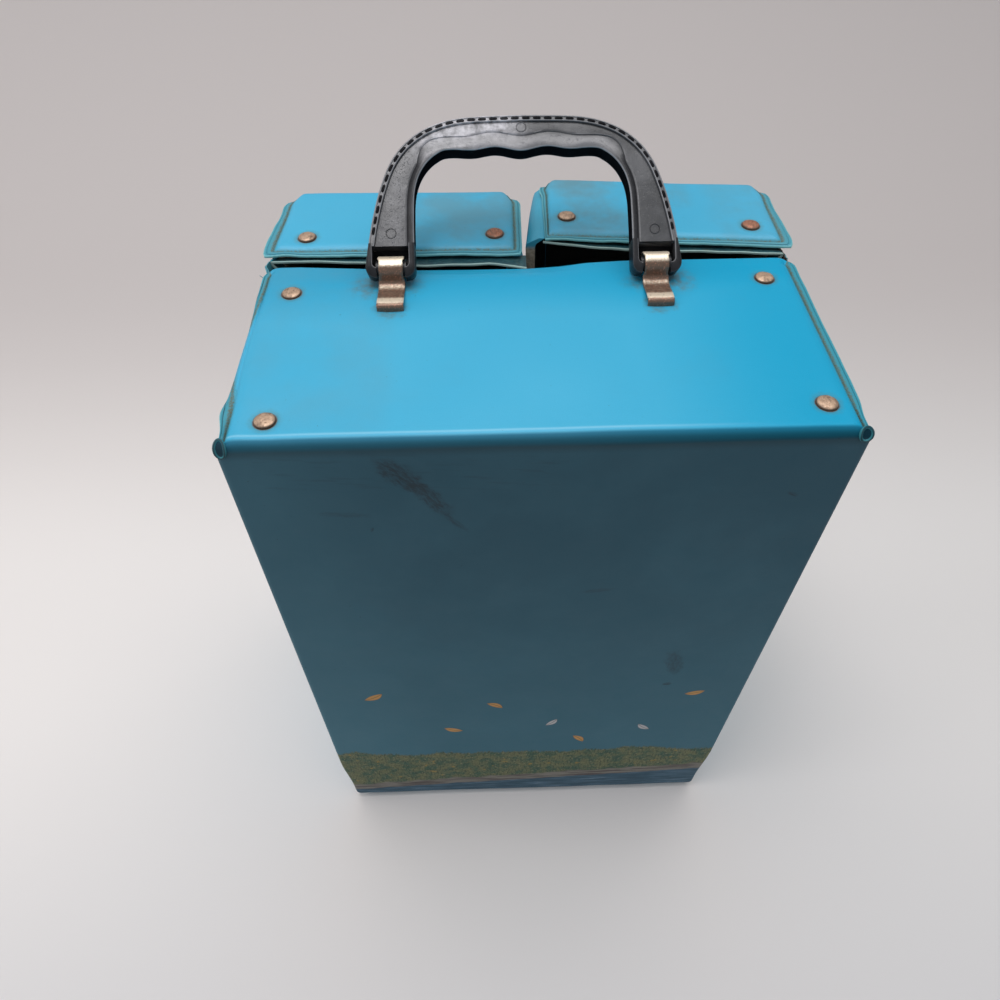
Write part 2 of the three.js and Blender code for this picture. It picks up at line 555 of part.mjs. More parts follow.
// Doors
function doorPieces(side) {
  const name = side < 0 ? "left_door" : "right_door";
  const base = DOOR_LIFT;
  const [x0, x1] = side < 0 ? [-BOARD_HALF, -INNER_BOARD_X] : [INNER_BOARD_X, BOARD_HALF];
  const { outer, inner } = DOOR_RIVETS[name];
  const spots = [
    { x: side * (HALF_WIDTH - outer[0]), y: DOOR_RIM_Y + outer[1], name: "outer" },
    { x: side * (INNER_FLANGE_X + inner[0]), y: DOOR_RIM_Y + inner[1], name: "inner" },
  ];
  const bores = spots.map((s) => rivetBore(s.x, s.y));
  const seats = spots.map((s) => rivetSeat(s.x, s.y, base));
  const shell = wrap(x0, x1, DOOR_RIM_Y, FAR_Y, base, false);
  const innerOut = INNER_BOARD_X + FIT;
  const innerIn = innerOut + SIDE_BOARD;
  const wall = (out, way) => cut(sideBoard(out, way, DOOR_RIM_Y, FAR_Y, base), ...bores);
  const [l0, l1] = side < 0 ? [-WALL_IN_X + FIT, -innerIn - FIT] : [innerIn + FIT, WALL_IN_X - FIT];
  const paper = lining(l0, l1, DOOR_RIM_Y - DOOR_LIP, FAR_Y, base);
  return [
    named(`${name}_wrap`, cut(shell, ...bores, ...seats), VINYL),
    named(`${name}_outer_board`, wall(side * WALL_OUT_X, -side), CARDBOARD),
    named(`${name}_inner_board`, wall(side * innerOut, side), VINYL),
    named(`${name}_side_cover`, sideCover(side, FAR_Y, base), VINYL),
    named(`${name}_lining`, cut(paper, ...bores, ...strapBores(side)), LINING_PAPER),
    ...spots.map((s) => named(`${name}_top_rivet_${s.name}`, topRivet(s.x, s.y), OLD_STEEL)),
    ...spots.map((s) => named(`${name}_base_rivet_${s.name}`, baseRivet(s.x, s.y, base), OLD_STEEL)),
    ...strapPieces(side, name),
  ];
}

const strapX = (side, end) => side * (INNER_BOARD_X + WALL_IN_X) / 2 + (end * STRAP_SPAN) / 2;
const STRAP_SEAT_Y = FAR_Y - CLEAR_IN; // the lining's inner face
const strapBores = (side) => [-1, 1].map((end) =>
  rod(RIVET_SHANK_RADIUS + FIT, -LINING - 1, LINING + 1, Y, [strapX(side, end), STRAP_SEAT_Y, STRAP_HEIGHT]));

// An elastic band bowed out from the lining, held by a stud at each end.
function strapPieces(side, name) {
  const foot = STRAP_STUD_RADIUS + 1.5;
  const line = [];
  const steps = 12;
  for (let i = 0; i <= steps; i++) {
    const t = i / steps;
    const bow = STRAP_BOW * Math.sin(Math.PI * t) ** 2;
    const x = strapX(side, -1) + foot + (STRAP_SPAN - 2 * foot) * t;
    line.push(new THREE.Vector2(x, STRAP_SEAT_Y - FIT - STRAP_THICK / 2 - bow));
  }
  line.unshift(new THREE.Vector2(strapX(side, -1) - foot, line[0].y));
  line.push(new THREE.Vector2(strapX(side, 1) + foot, line[0].y));
  const half = STRAP_TALL / 2;
  const band = alongZ(ribbon(line, STRAP_THICK), STRAP_HEIGHT - half, STRAP_HEIGHT + half);
  const seat = STRAP_THICK + 2 * FIT;
  const inwards = Y.clone().negate();
  const studs = [-1, 1].map((end) => {
    const profile = [
      [0, -LINING], [RIVET_SHANK_RADIUS, -LINING], [RIVET_SHANK_RADIUS, seat], [STRAP_STUD_RADIUS, seat],
      [STRAP_STUD_RADIUS * 0.8, seat + STRAP_STUD_HEIGHT], [0, seat + STRAP_STUD_HEIGHT],
    ];
    const stud = turned(profile, inwards, [strapX(side, end), STRAP_SEAT_Y, STRAP_HEIGHT]);
    return named(`${name}_strap_stud_${(end * side > 0) ? "outer" : "inner"}`, stud, OLD_STEEL);
  });
  return [named(`${name}_strap`, cut(band, ...strapBores(side).map((b) => b.translate([0, -STRAP_THICK, 0]))), ELASTIC), ...studs];
}

// Latch: a hook on the right door swings up to a stud on the left door.
const LATCH_X = INNER_FLANGE_X + LATCH_PLATE_IN;
const ARM_FROM = LATCH_PLATE[2] + FIT + LATCH_ARM_STANDOFF;
const HEAD_FROM = ARM_FROM + LATCH_ARM_THICK + LATCH_CLEARANCE;

// Pin to stud along the hook, once both doors are closed.
function latchSpan() {
  const closed = THREE.MathUtils.degToRad(DOOR_CLOSED);
  const arm = FAR_Y + FIT + ARM_FROM + LATCH_ARM_THICK / 2 - CREASE_Y;
  const x = CREASE_X - (CREASE_X - LATCH_X) * Math.cos(closed) + arm * Math.sin(closed);
  return (2 * x) / Math.cos(closed);
}

function latchPost(x, plateName, postName) {
  const [width, height, thick] = LATCH_PLATE;
  const seat = FAR_Y + FIT;
  const plate = cut(
    box(x - width / 2, x + width / 2, seat, seat + thick, LATCH_HEIGHT - height / 2, LATCH_HEIGHT + height / 2),
    rod(LATCH_PIN_RADIUS + FIT, -1, thick + 1, Y, [x, seat, LATCH_HEIGHT]),
  );
  const post = turned([
    [0, 0], [LATCH_PIN_RADIUS, 0], [LATCH_PIN_RADIUS, HEAD_FROM], [LATCH_HEAD_RADIUS, HEAD_FROM],
    [LATCH_HEAD_RADIUS * 0.75, HEAD_FROM + LATCH_HEAD_HEIGHT], [0, HEAD_FROM + LATCH_HEAD_HEIGHT],
  ], Y, [x, seat, LATCH_HEIGHT]);
  return [named(plateName, plate, OLD_STEEL), named(postName, post, OLD_STEEL)];
}

// The hook hangs from its pin, so its slot opens sideways until it is swung up level.
function latchHook() {
  const half = LATCH_ARM_WIDTH / 2;
  const seat = FAR_Y + FIT;
  const x = LATCH_X;
  const end = LATCH_HEIGHT - latchSpan();
  const shape = new THREE.Shape();
  shape.moveTo(x - half, LATCH_HEIGHT);
  shape.absarc(x, LATCH_HEIGHT, half, Math.PI, 0, true);
  shape.lineTo(x + half, end - half);
  shape.lineTo(x - half, end - half);
  const mouth = LATCH_PIN_RADIUS + LATCH_CLEARANCE;
  const slot = join(
    rod(mouth, -1, HEAD_FROM, Y, [x, seat, end]),
    box(x, x - half - 1, seat - 1, seat + HEAD_FROM, end - mouth, end + mouth),
  );
  const blank = alongY(shape, seat + ARM_FROM, seat + ARM_FROM + LATCH_ARM_THICK);
  const eye = rod(LATCH_PIN_RADIUS + FIT, -1, HEAD_FROM + 1, Y, [x, seat, LATCH_HEIGHT]);
  return named("latch_hook", cut(blank, slot, eye), OLD_STEEL);
}

// A door's meshes hang in a group that turns about its crease.
function hung(side, ajar, meshes) {
  const door = new THREE.Group();
  door.position.set(side * CREASE_X, CREASE_Y, 0);
  door.rotation.z = -side * THREE.MathUtils.degToRad(ajar);
  for (const mesh of meshes) {
    mesh.geometry.translate(-side * CREASE_X, -CREASE_Y, 0);
    door.add(mesh);
  }
  return door;
}

const dollCase = new THREE.Group();
dollCase.add(...bodyPieces(), ...clips(), handle(), ...railPieces(), chest(), ...drawers());
dollCase.add(hung(-1, LEFT_DOOR_AJAR, [...doorPieces(-1), ...latchPost(-LATCH_X, "latch_keeper_plate", "latch_keeper_stud")]));
dollCase.add(hung(1, RIGHT_DOOR_AJAR, [...doorPieces(1), ...latchPost(LATCH_X, "latch_plate", "latch_pin"), latchHook()]));

export default dollCase;
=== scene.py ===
"""A doll case of blue vinyl over board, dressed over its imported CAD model.

Lengths in the mesh code are in millimetres in the CAD's frame: the base at z 0, the printed panel facing -Y
and the two doors opening on the +Y side. They become metres when a mesh is made.
"""
import json
import math

import bmesh
import bpy
import numpy as np
from bpy.props import FloatProperty, FloatVectorProperty, PointerProperty
from mathutils import Matrix, Vector, noise


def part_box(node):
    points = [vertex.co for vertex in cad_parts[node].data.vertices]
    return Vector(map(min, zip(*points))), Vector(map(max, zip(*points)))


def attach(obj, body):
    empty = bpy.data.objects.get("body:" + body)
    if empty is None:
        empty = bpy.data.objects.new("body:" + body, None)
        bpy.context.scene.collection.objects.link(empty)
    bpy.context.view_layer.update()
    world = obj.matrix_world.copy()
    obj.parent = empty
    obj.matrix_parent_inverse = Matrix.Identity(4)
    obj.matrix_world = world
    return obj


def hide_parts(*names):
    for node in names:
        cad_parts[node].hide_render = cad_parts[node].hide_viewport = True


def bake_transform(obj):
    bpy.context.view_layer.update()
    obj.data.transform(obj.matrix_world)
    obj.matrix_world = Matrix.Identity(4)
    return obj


bl_info = {
    "name": "Doll case",
    "version": (1, 0, 0),
    "blender": (4, 5, 0),
    "location": "3D View > Sidebar > Doll case",
    "description": "Dresses a vinyl doll case over its CAD frame, with its studio",
    "category": "Object",
}

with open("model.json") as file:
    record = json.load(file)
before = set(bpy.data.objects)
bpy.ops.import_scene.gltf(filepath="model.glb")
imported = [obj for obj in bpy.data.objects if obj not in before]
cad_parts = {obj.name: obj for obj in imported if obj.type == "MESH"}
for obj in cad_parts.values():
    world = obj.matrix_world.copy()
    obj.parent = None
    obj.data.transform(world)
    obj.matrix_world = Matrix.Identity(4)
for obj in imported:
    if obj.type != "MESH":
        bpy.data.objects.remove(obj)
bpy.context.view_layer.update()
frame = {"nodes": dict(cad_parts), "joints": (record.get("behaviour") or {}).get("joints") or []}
NODES = frame["nodes"]
MM = 0.001


def box_mm(node):
    """Lowest and highest corner of a CAD node, in millimetres."""
    low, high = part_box(node)
    return np.array(low) / MM, np.array(high) / MM


# Sizes that come from the frame
BODY_LOW, BODY_HIGH = box_mm("body_wrap")
HALF_WIDTH = float(BODY_HIGH[0])
CASE_HEIGHT = float(BODY_HIGH[2])
REAR_Y = float(BODY_LOW[1])
DOOR_BASE = float(box_mm("left_door_wrap")[0][2])
HINGES = {j["name"]: np.array(j["pos_m"]) / MM for j in frame["joints"] if "pos_m" in j}
CREASE_X = float(HINGES["right_door_hinge"][0])
CREASE_Y = float(HINGES["right_door_hinge"][1])
HANDLE_PIVOT = HINGES["handle_swing"]

# Sizes of the wraps, which the CAD model shares
SIDE_FLANGE = 4.0
RIM_FLANGE = 3.0
BOARD = 3.0
TOP_FOLD = 4.5
BASE_FOLD = 10.0
BASE_CORNER = 12.0
FOOT_TAPER = 3.0
BODY_RIM_Y = float(BODY_HIGH[1]) - RIM_FLANGE
DOOR_RIM_Y = 2 * CREASE_Y - BODY_RIM_Y
FAR_Y = -REAR_Y
DOOR_SPLIT = 4.0
TOP_FLANGE_CUT = 8.5
LINING_DEPTH = 5.1
LINING_THICK = 1.2
COVER_X = HALF_WIDTH - 3.0
COVER_DEPTH = 3.3
HINGE_BULGE = 11.0
LEFT_AJAR = -1.0
RIGHT_AJAR = 5.0

# Sizes of the handle and its clips, which the CAD model shares
HANDLE_LEAN = 51.0
HANDLE_HALF_WIDTH = 69.0
HANDLE_RISE = 65.4
LEG_WIDTH = 21.4
GRIP_DEPTH = 14.9
HANDLE_HALF_THICK = 4.8
WEB_HALF_THICK = 3.0
WINDOW_TOP = 8.6
CLIP_OFFSET = 58.2
CLIP_WIDTH = 11.6
CLIP_THICK = 1.0
WINDOW_HALF = 8.0
BAR_RADIUS = 3.2
FINGER_WAVE = 0.9
FINGER_PITCH = 23.0
FINGER_SPAN = 84.0

SIDES = {"left": -1, "right": 1}


# Properties
def linear(*shown):
    """A colour's linear values from its displayed ones, 0 to 255."""
    parts = []
    for value in shown:
        part = value / 255
        parts.append(part / 12.92 if part <= 0.04045 else ((part + 0.055) / 1.055) ** 2.4)
    return tuple(parts)


def colour(name, description, *shown):
    """A colour property."""
    return FloatVectorProperty(
        name=name, description=description, subtype="COLOR", size=3, min=0, max=1, default=linear(*shown))


def length(name, description, millimetres):
    """A length property, in metres."""
    return FloatProperty(
        name=name, description=description, unit="LENGTH", min=0.0, precision=5, default=millimetres * MM)


def amount(name, description, default, highest=4.0):
    """A plain number property."""
    return FloatProperty(
        name=name, description=description, subtype="FACTOR", min=0.0, max=highest, default=default)


class CaseShape(bpy.types.PropertyGroup):
    """Sizes of the case's soft and worn forms."""

    pad_round: length("Padding's rounded edge", "Width over which the padding falls to the weld", 5.0)
    pad_waves: length("Padding's waves", "Height of the slow waves in the vinyl", 0.25)
    flange_waves: length("Flange's waves", "How far the welded flanges wander up and down", 0.55)
    rivet_dimple: length("Dimple at a rivet", "How deep a rivet pulls the vinyl in", 0.7)
    corner_curl: length("Corner curl", "How far the flange stands up at the panel's top corners", 2.2)
    tear_depth: length("Tear's depth", "How far the side vinyl is torn down at the top of each hinge", 4.0)
    lip_sag: length("Lip's sag", "How far the doors' inner lip sags", 0.8)
    rivet_height: length("Rivet's dome", "Height of a rivet's head", 1.2)
    hammering: length("Hammering", "Depth of the dents in the rivets' heads", 0.16)
    stitch_pitch: length("Stitch pitch", "Distance between the moulded stitches on the handle", 4.8)
    stitch_length: length("Stitch length", "Length of one moulded stitch", 3.7)
    strap_bow: length("Strap's bow", "How far the doll straps bow out", 9.0)


class CaseColours(bpy.types.PropertyGroup):
    """Colours of the case's materials."""

    vinyl: colour("Vinyl", "Clean vinyl", 62, 168, 204)
    vinyl_deep: colour("Deep vinyl", "Vinyl where it is darker", 2, 151, 191)
    vinyl_grey: colour("Worn vinyl", "Vinyl that has been rubbed and has greyed", 84, 138, 156)
    vinyl_aged: colour("Aged vinyl", "Vinyl of the welded flanges", 62, 136, 146)
    # The vinyl's cut edge is paler both as its own colour and as a painted highlight along the flanges' rims
    vinyl_edge: colour("Vinyl's edge", "Cut edge of the vinyl", 118, 186, 190)
    # The panel's ground is painted darker than the top's vinyl, as the shade on the upright face
    panel: colour("Printed panel", "Ground of the printed panel", 60, 110, 127)
    weld_dirt: colour("Weld dirt", "Dirt in the weld grooves", 94, 92, 66)
    scuff: colour("Scuffs", "Dark rubbed marks", 30, 44, 52)
    torn: colour("Torn backing", "Cloth backing that shows at the tears", 52, 44, 38)
    reeds: colour("Reeds", "Green of the printed river bank", 66, 96, 76)
    reed_tips: colour("Reed tips", "Pale yellow of the printed river bank", 152, 144, 112)
    bank: colour("Bank", "Grey-brown of the printed ground", 134, 130, 122)
    water: colour("Water", "Blue of the printed water", 74, 106, 126)
    leaf: colour("Leaves", "Orange of the printed leaves", 202, 152, 92)
    leaf_pale: colour("Pale leaves", "Pale printed leaves", 196, 196, 198)
    plastic: colour("Handle plastic", "Dark grey of the handle", 50, 51, 54)
    plastic_worn: colour("Worn plastic", "Grey of the handle where it is rubbed", 128, 128, 132)
    steel: colour("Steel", "Bare plated steel", 230, 216, 194)
    steel_dark: colour("Tarnish", "Tarnished steel", 104, 88, 76)
    rust: colour("Rust", "Rust on the clips and rivets", 112, 66, 40)
    copper: colour("Rivet copper", "Worn plating of the rivets", 186, 158, 134)
    board: colour("Board", "Bare grey-brown board", 150, 138, 122)
    paper: colour("Lining paper", "Paper inside the case", 226, 219, 202)
    card: colour("Drawer card", "Card of the chest and drawers", 214, 200, 170)
    # The doors' lining paper is painted dark, as the shade inside the doors
    door_paper: colour("Door lining", "Dark paper inside the doors", 44, 50, 58)
    elastic: colour("Elastic", "Woven doll straps", 232, 226, 212)


class StageLook(bpy.types.PropertyGroup):
    """The floor and the light."""

    floor: colour("Floor", "Colour of the floor and backdrop", 238, 233, 230)
    floor_bounce: amount("Floor's bounce", "Share of the floor's colour that lights the object", 0.5, 1.0)
    overhead: FloatProperty(name="Overhead lamp", description="Power of the wide lamp over the case",
                            unit="POWER", min=0.0, default=20.5)
    side: FloatProperty(name="Side lamp", description="Power of the soft lamp at the left",
                        unit="POWER", min=0.0, default=3.6)
    surround: amount("Surround", "Strength of the even light from all round", 0.54)


def shape_mm(name):
    """One of the shape's lengths, in millimetres."""
    return getattr(bpy.context.scene.doll_case_shape, name) / MM


# Colours of small things and printed details, as displayed, 0 to 255
TONES = {
    # The fold's two teals are painted shade as the fold turns down
    "fold_teal": (2, 100, 128),
    "fold_shade": (2, 78, 98),
    # A painted highlight along the top edge of the fold
    "ridge_light": (170, 222, 240),
    # Painted shade towards the top of the printed panel
    "panel_dark": (20, 58, 74),
    # Painted shade in a band just under the fold
    "panel_top": (16, 44, 50),
    "leaf_rib": (104, 78, 56),
    "rivet_ring": (92, 72, 56),
    # Painted shade in the hollows of the ears
    "ear_hollow": (8, 50, 64),
    "lip_dark": (18, 60, 70),
    "lip_light": (44, 88, 94),
    "lip_edge": (168, 196, 190),
    "fibre_pale": (186, 174, 154),
    # The handle's rims: partly rubbed, partly a painted highlight
    "plastic_rim": (160, 160, 164),
    # A painted highlight on the handle's arch
    "plastic_shine": (200, 198, 204),
    "rivet_rim": (96, 74, 58),
    "clip_brown": (112, 90, 76),
    "clip_copper": (196, 138, 112),
    "reeds_dry": (112, 116, 82),
    "reeds_teal": (40, 82, 72),
    "reeds_dark": (40, 62, 54),
    "blooms": (170, 138, 66),
    "bank_dark": (84, 76, 74),
    "water_dark": (44, 78, 96),
    "water_light": (140, 160, 176),
    "brown_plating": (170, 116, 92),
    "brass": (198, 164, 96),
    # Painted shade on the floor to the right, in front and up the backdrop
    "floor_right": (230, 227, 225),
    "floor_near": (196, 196, 199),
    "floor_far": (198, 191, 189),
}
ALMOST_BLACK = (0.008, 0.008, 0.008, 1.0)
# Near black, painted as shade in the handle's hollows
PAINTED_SHADE_BLACK = (0.004, 0.004, 0.005, 1.0)


def shade(colour):
    """A colour as a node's socket takes it: from its name, or as it is."""
    if not isinstance(colour, str):
        return colour
    if colour in TONES:
        return (*linear(*TONES[colour]), 1.0)
    return (*getattr(bpy.context.scene.doll_case_colours, colour), 1.0)


# Meshes
class Parts:
    """Gathers closed shells, in millimetres, into one object."""

    def __init__(self):
        self.points = []
        self.faces = []
        self.finishes = []
        self.marks = {}

    def add(self, points, faces, finish=0, **marks):
        """Adds a shell. Each mark is one number for the shell or one for each point."""
        start = len(self.points)
        points = np.asarray(points, float).reshape(-1, 3)
        self.points.extend(points.tolist())
        self.faces.extend([start + i for i in face] for face in faces)
        self.finishes.extend([finish] * len(faces))
        for label in set(self.marks) | set(marks):
            held = self.marks.setdefault(label, [0.0] * start)
            held.extend(np.broadcast_to(marks.get(label, 0.0), len(points)).tolist())
        return self

    def build(self, name, materials, crease=40.0):
        """Makes the object. Faces that meet at more than crease degrees keep a sharp edge."""
        mesh = bpy.data.meshes.new(name)
        mesh.from_pydata((np.array(self.points) * MM).tolist(), [], self.faces)
        mesh.polygons.foreach_set("material_index", self.finishes)
        mesh.polygons.foreach_set("use_smooth", [True] * len(self.faces))
        for label, values in self.marks.items():
            mesh.attributes.new(label, "FLOAT", "POINT").data.foreach_set("value", values)
        rest = mesh.attributes.new("rest_mm", "FLOAT_VECTOR", "POINT")
        rest.data.foreach_set("vector", np.array(self.points, np.float32).ravel())
        for material in materials:
            mesh.materials.append(material)
        edited = bmesh.new()
        edited.from_mesh(mesh)
        bmesh.ops.recalc_face_normals(edited, faces=edited.faces)
        edited.to_mesh(mesh)
        edited.free()
        mesh.set_sharp_from_angle(angle=math.radians(crease))
        mesh.update()
        obj = bpy.data.objects.new(name, mesh)
        bpy.context.scene.collection.objects.link(obj)
        return obj


def smooth(value, low, high):
    """0 at low and 1 at high, with level ends."""
    t = np.clip((np.asarray(value, float) - low) / (high - low), 0, 1)
    return t * t * (3 - 2 * t)


def fade(value, low, high):
    """1 at low and 0 at high, with level ends."""
    return 1 - smooth(value, low, high)


def wander(a, b, size, seed=0.0):
    """Smooth noise, about -1 to 1, over two coordinates."""
    a, b = np.broadcast_arrays(np.asarray(a, float), np.asarray(b, float))
    flat = [noise.noise(Vector((p / size, q / size, seed))) for p, q in zip(a.ravel(), b.ravel())]
    return np.array(flat).reshape(a.shape) * 1.6


def waver(a, size, seed):
    """Smooth noise, about -1 to 1, over one coordinate."""
    return wander(a, 0 * a, size, seed)


def stops(start, *runs):
    """Positions from start through runs of (end, greatest step)."""
    places = [start]
    for end, step in runs:
        count = max(1, math.ceil((end - places[-1]) / step - 1e-6))
        places.extend(np.linspace(places[-1], end, count + 1)[1:])
    return np.array(places)


def unit(rows):
    """Rows of numbers, each brought to length 1."""
    return rows / np.linalg.norm(rows, axis=1)[:, None]


def ways_along(line):
    """A line's direction at each of its points."""
    return unit(np.gradient(line, axis=0))


def run_along(line):
    """Distance along a line at each of its points."""
    return np.concatenate([[0], np.cumsum(np.linalg.norm(np.diff(line, axis=0), axis=1))])


def round_turns(count):
    """Evenly spaced angles round a circle."""
    return np.arange(count) / count * 2 * np.pi


def ring_faces(here, there, count):
    """Faces between two rings of points whose numbers start at here and at there."""
    return [[here + j, here + (j + 1) % count, there + (j + 1) % count, there + j] for j in range(count)]


def grid_faces(rows, count):
    """Faces of a grid of points."""
    return [[i * count + j, i * count + j + 1, (i + 1) * count + j + 1, (i + 1) * count + j]
            for i in range(rows - 1) for j in range(count - 1)]


def loft(sections, closed=False):
    """A closed shell through sections of equal count, with flat ends unless the row is closed."""
    sections = np.asarray(sections, float)
    rows, count = sections.shape[:2]
    faces = []
    for i in range(rows if closed else rows - 1):
        faces += ring_faces(i * count, (i + 1) % rows * count, count)
    if not closed:
        faces.append(list(range(count)))
        faces.append(list(range((rows - 1) * count, rows * count)))
    return sections.reshape(-1, 3), faces


def closed_section(upper):
    """A flat strip's section from its upper half, which is mirrored under it."""
    return upper + [(across, -up) for across, up in upper[1:-1][::-1]]


def tube(path, radius, sides=8):
    """A round shell along a path; the radius is one number or one for each point."""
    path = np.asarray(path, float)
    radii = np.broadcast_to(radius, len(path))
    ways = ways_along(path)
    turns = round_turns(sides)
    across = np.cross(ways[0], [0.31, 0.17, 0.94])
    sections = []
    for point, way, size in zip(path, ways, radii):
        across = across - way * across.dot(way)
        across /= np.linalg.norm(across)
        other = np.cross(way, across)
        sections.append(point + size * (np.cos(turns)[:, None] * across + np.sin(turns)[:, None] * other))
    return loft(sections)


def lathe(profile, segments, place):
    """A turned shell from (radius, height) pairs that start and end on the axis; place maps its points."""
    turns = round_turns(segments)
    rings = profile[1:-1]
    points = [(0, 0, profile[0][1])]
    for r, h in rings:
        points.extend((r * math.cos(t), r * math.sin(t), h) for t in turns)
    points.append((0, 0, profile[-1][1]))
    last = len(points) - 1
    faces = []
    for j in range(segments):
        k = (j + 1) % segments
        faces.append([0, 1 + k, 1 + j])
        for i in range(len(rings) - 1):
            here = 1 + i * segments
            there = here + segments
            faces.append([here + j, here + k, there + k, there + j])
        end = 1 + (len(rings) - 1) * segments
        faces.append([end + j, end + k, last])
    return place(np.array(points)), faces


def grid_shell(outer, inner):
    """A closed shell between two grids of points of the same size."""
    rows, count = outer.shape[:2]
    points = np.concatenate([outer.reshape(-1, 3), inner.reshape(-1, 3)])
    under = rows * count
    faces = []
    for face in grid_faces(rows, count):
        faces += [face, [under + i for i in face[::-1]]]
    border = [(0, j) for j in range(count)] + [(i, count - 1) for i in range(1, rows)]
    border += [(rows - 1, j) for j in range(count - 2, -1, -1)] + [(i, 0) for i in range(rows - 2, 0, -1)]
    loop = [i * count + j for i, j in border]
    for a, b in zip(loop, loop[1:] + loop[:1]):
        faces.append([b, a, under + a, under + b])
    return points, faces


def swing(points, side, degrees):
    """Turns closed-door points out about the door's crease. Degrees may be one number for each point."""
    points = np.array(points, float)
    turn = -side * np.radians(degrees)
    x = points[..., 0] - side * CREASE_X
    y = points[..., 1] - CREASE_Y
    points[..., 0] = side * CREASE_X + x * np.cos(turn) - y * np.sin(turn)
    points[..., 1] = CREASE_Y + x * np.sin(turn) + y * np.cos(turn)
    return points


AJAR = {-1: LEFT_AJAR, 1: RIGHT_AJAR}


class Strip:
    """The strip that folds into top, upright panel and base, measured from the top flange's edge."""

    def __init__(self, rim, face, base):
        self.way = 1 if face > rim else -1
        self.start = rim - self.way * RIM_FLANGE
        self.face = face
        self.base = base
        run = abs(face - self.start)
        lengths = [
            run - TOP_FOLD,
            TOP_FOLD * math.pi / 2,
            CASE_HEIGHT - TOP_FOLD - base - BASE_FOLD,
            BASE_FOLD * math.pi / 2,
            run - BASE_FOLD,
        ]
        self.ends = np.cumsum(lengths)

    def along(self, y):
        """Length along the strip at that y of the top."""
        return abs(y - self.start)

    def place(self, s, x, depth):
        """Points at length s, at x, and at that depth under the outer face."""
        s, x, depth = np.broadcast_arrays(*(np.asarray(value, float) for value in (s, x, depth)))
        e0, e1, e2, e3, _ = self.ends
        top_turn = (s - e0) / TOP_FOLD
        base_turn = (s - e2) / BASE_FOLD
        top_y = self.face - self.way * TOP_FOLD
        base_y = self.face - self.way * BASE_FOLD
        choices = [s < e0, s < e1, s < e2, s < e3]
        y = np.select(choices, [
            self.start + self.way * s,
            top_y + self.way * (TOP_FOLD - depth) * np.sin(top_turn),
            self.face - self.way * depth,
            base_y + self.way * (BASE_FOLD - depth) * np.cos(base_turn),
        ], base_y - self.way * (s - e3))
        z = np.select(choices, [
            CASE_HEIGHT - depth,
            CASE_HEIGHT - TOP_FOLD + (TOP_FOLD - depth) * np.cos(top_turn),
            CASE_HEIGHT - TOP_FOLD - (s - e1),
            self.base + BASE_FOLD - (BASE_FOLD - depth) * np.sin(base_turn),
        ], self.base + depth)
        return np.stack([x, y, z], axis=-1)


BODY_STRIP = Strip(BODY_RIM_Y, REAR_Y, 0.0)
DOOR_STRIP = Strip(DOOR_RIM_Y, FAR_Y, DOOR_BASE)

# From the board's edge inwards: (distance, depth) down the padding's rounded edge, as shares of its width
SHOULDER = [(1.0, 0.0), (0.8, 0.05), (0.62, 0.17), (0.46, 0.36), (0.32, 0.61), (0.2, 0.91), (0.1, 1.28),
            (0.03, 1.7)]
# Outwards over the flange, (share of its width, depth): groove, first layer, gap, second layer and edge
FLANGE = [
    (0.05, 2.02), (0.12, 1.8), (0.2, 1.52), (0.3, 1.44), (0.52, 1.46), (0.6, 1.56), (0.64, 1.9),
    (0.69, 1.95), (0.73, 1.76), (0.8, 1.72), (0.92, 1.84), (0.98, 2.02), (1.0, 2.4),
]
UNDER_FLANGE = [(0.97, 2.85), (0.88, BOARD), (0.3, BOARD), (0.0, BOARD)]
CORNER_STEPS = 8
PLAIN_EDGE = 2.6
PLAIN_MARK = 12.0
DIMPLE_REACH = 6.5


def wrap_loop(s_lines, x_lines, roundness):
    """Runs round a grid's border: each point's number, and its s, its x and its way outwards."""
    rows, count = len(s_lines), len(x_lines)
    loop = []

    def corner(i, j, start, power):
        for step in range(CORNER_STEPS + 1):
            turn = math.radians(start + 90 * step / CORNER_STEPS)
            a, b = math.cos(turn), math.sin(turn)
            reach = (abs(a) ** power + abs(b) ** power) ** (-1 / power)
            loop.append((i * count + j, s_lines[i], x_lines[j], a * reach, b * reach))

    corner(0, 0, 180, roundness[0])
    loop.extend((i * count, s_lines[i], x_lines[0], 0.0, -1.0) for i in range(1, rows - 1))
    corner(rows - 1, 0, 270, roundness[1])
    loop.extend(((rows - 1) * count + j, s_lines[-1], x_lines[j], 1.0, 0.0) for j in range(1, count - 1))
    corner(rows - 1, count - 1, 0, roundness[2])
    loop.extend((i * count + count - 1, s_lines[i], x_lines[-1], 0.0, 1.0) for i in range(rows - 2, 0, -1))
    corner(0, count - 1, 90, roundness[3])
    loop.extend((j, s_lines[0], x_lines[j], -1.0, 0.0) for j in range(count - 2, 0, -1))
    return [entry[0] for entry in loop], np.array([entry[1:] for entry in loop]).T


def wrap_rings(pad, width, plain):
    """The rings round the grid, outwards and then under: (out, depth, distance from the edge, share).

    Where plain is 1, a ring follows a plain rounded edge instead of the weld and its flange.
    """
    total = pad + width
    rings = []
    for k, (share, depth) in enumerate(SHOULDER[1:], 1):
        flat = (total - PLAIN_EDGE) * k / (len(SHOULDER) - 1)
        rings.append((pad * (1 - share), depth, SIDE_FLANGE + pad * share, 0.0, flat, 0.0))
    for k, (share, depth) in enumerate(FLANGE, 1):
        turn = math.pi / 2 * k / len(FLANGE)
        round_out = total - PLAIN_EDGE * (1 - math.sin(turn))
        round_depth = PLAIN_EDGE * (1 - math.cos(turn))
        rings.append((pad + width * share, depth, SIDE_FLANGE * (1 - share), share, round_out, round_depth))
    for share, depth in UNDER_FLANGE:
        out = pad + width * share
        rings.append((out, depth, SIDE_FLANGE * (1 - share), share, out, depth))
    for out, depth, edge, share, plain_out, plain_depth in rings:
        yield (out + (plain_out - out) * plain, depth + (plain_depth - depth) * plain,
               edge + (PLAIN_MARK - edge) * plain, share * (1 - plain))


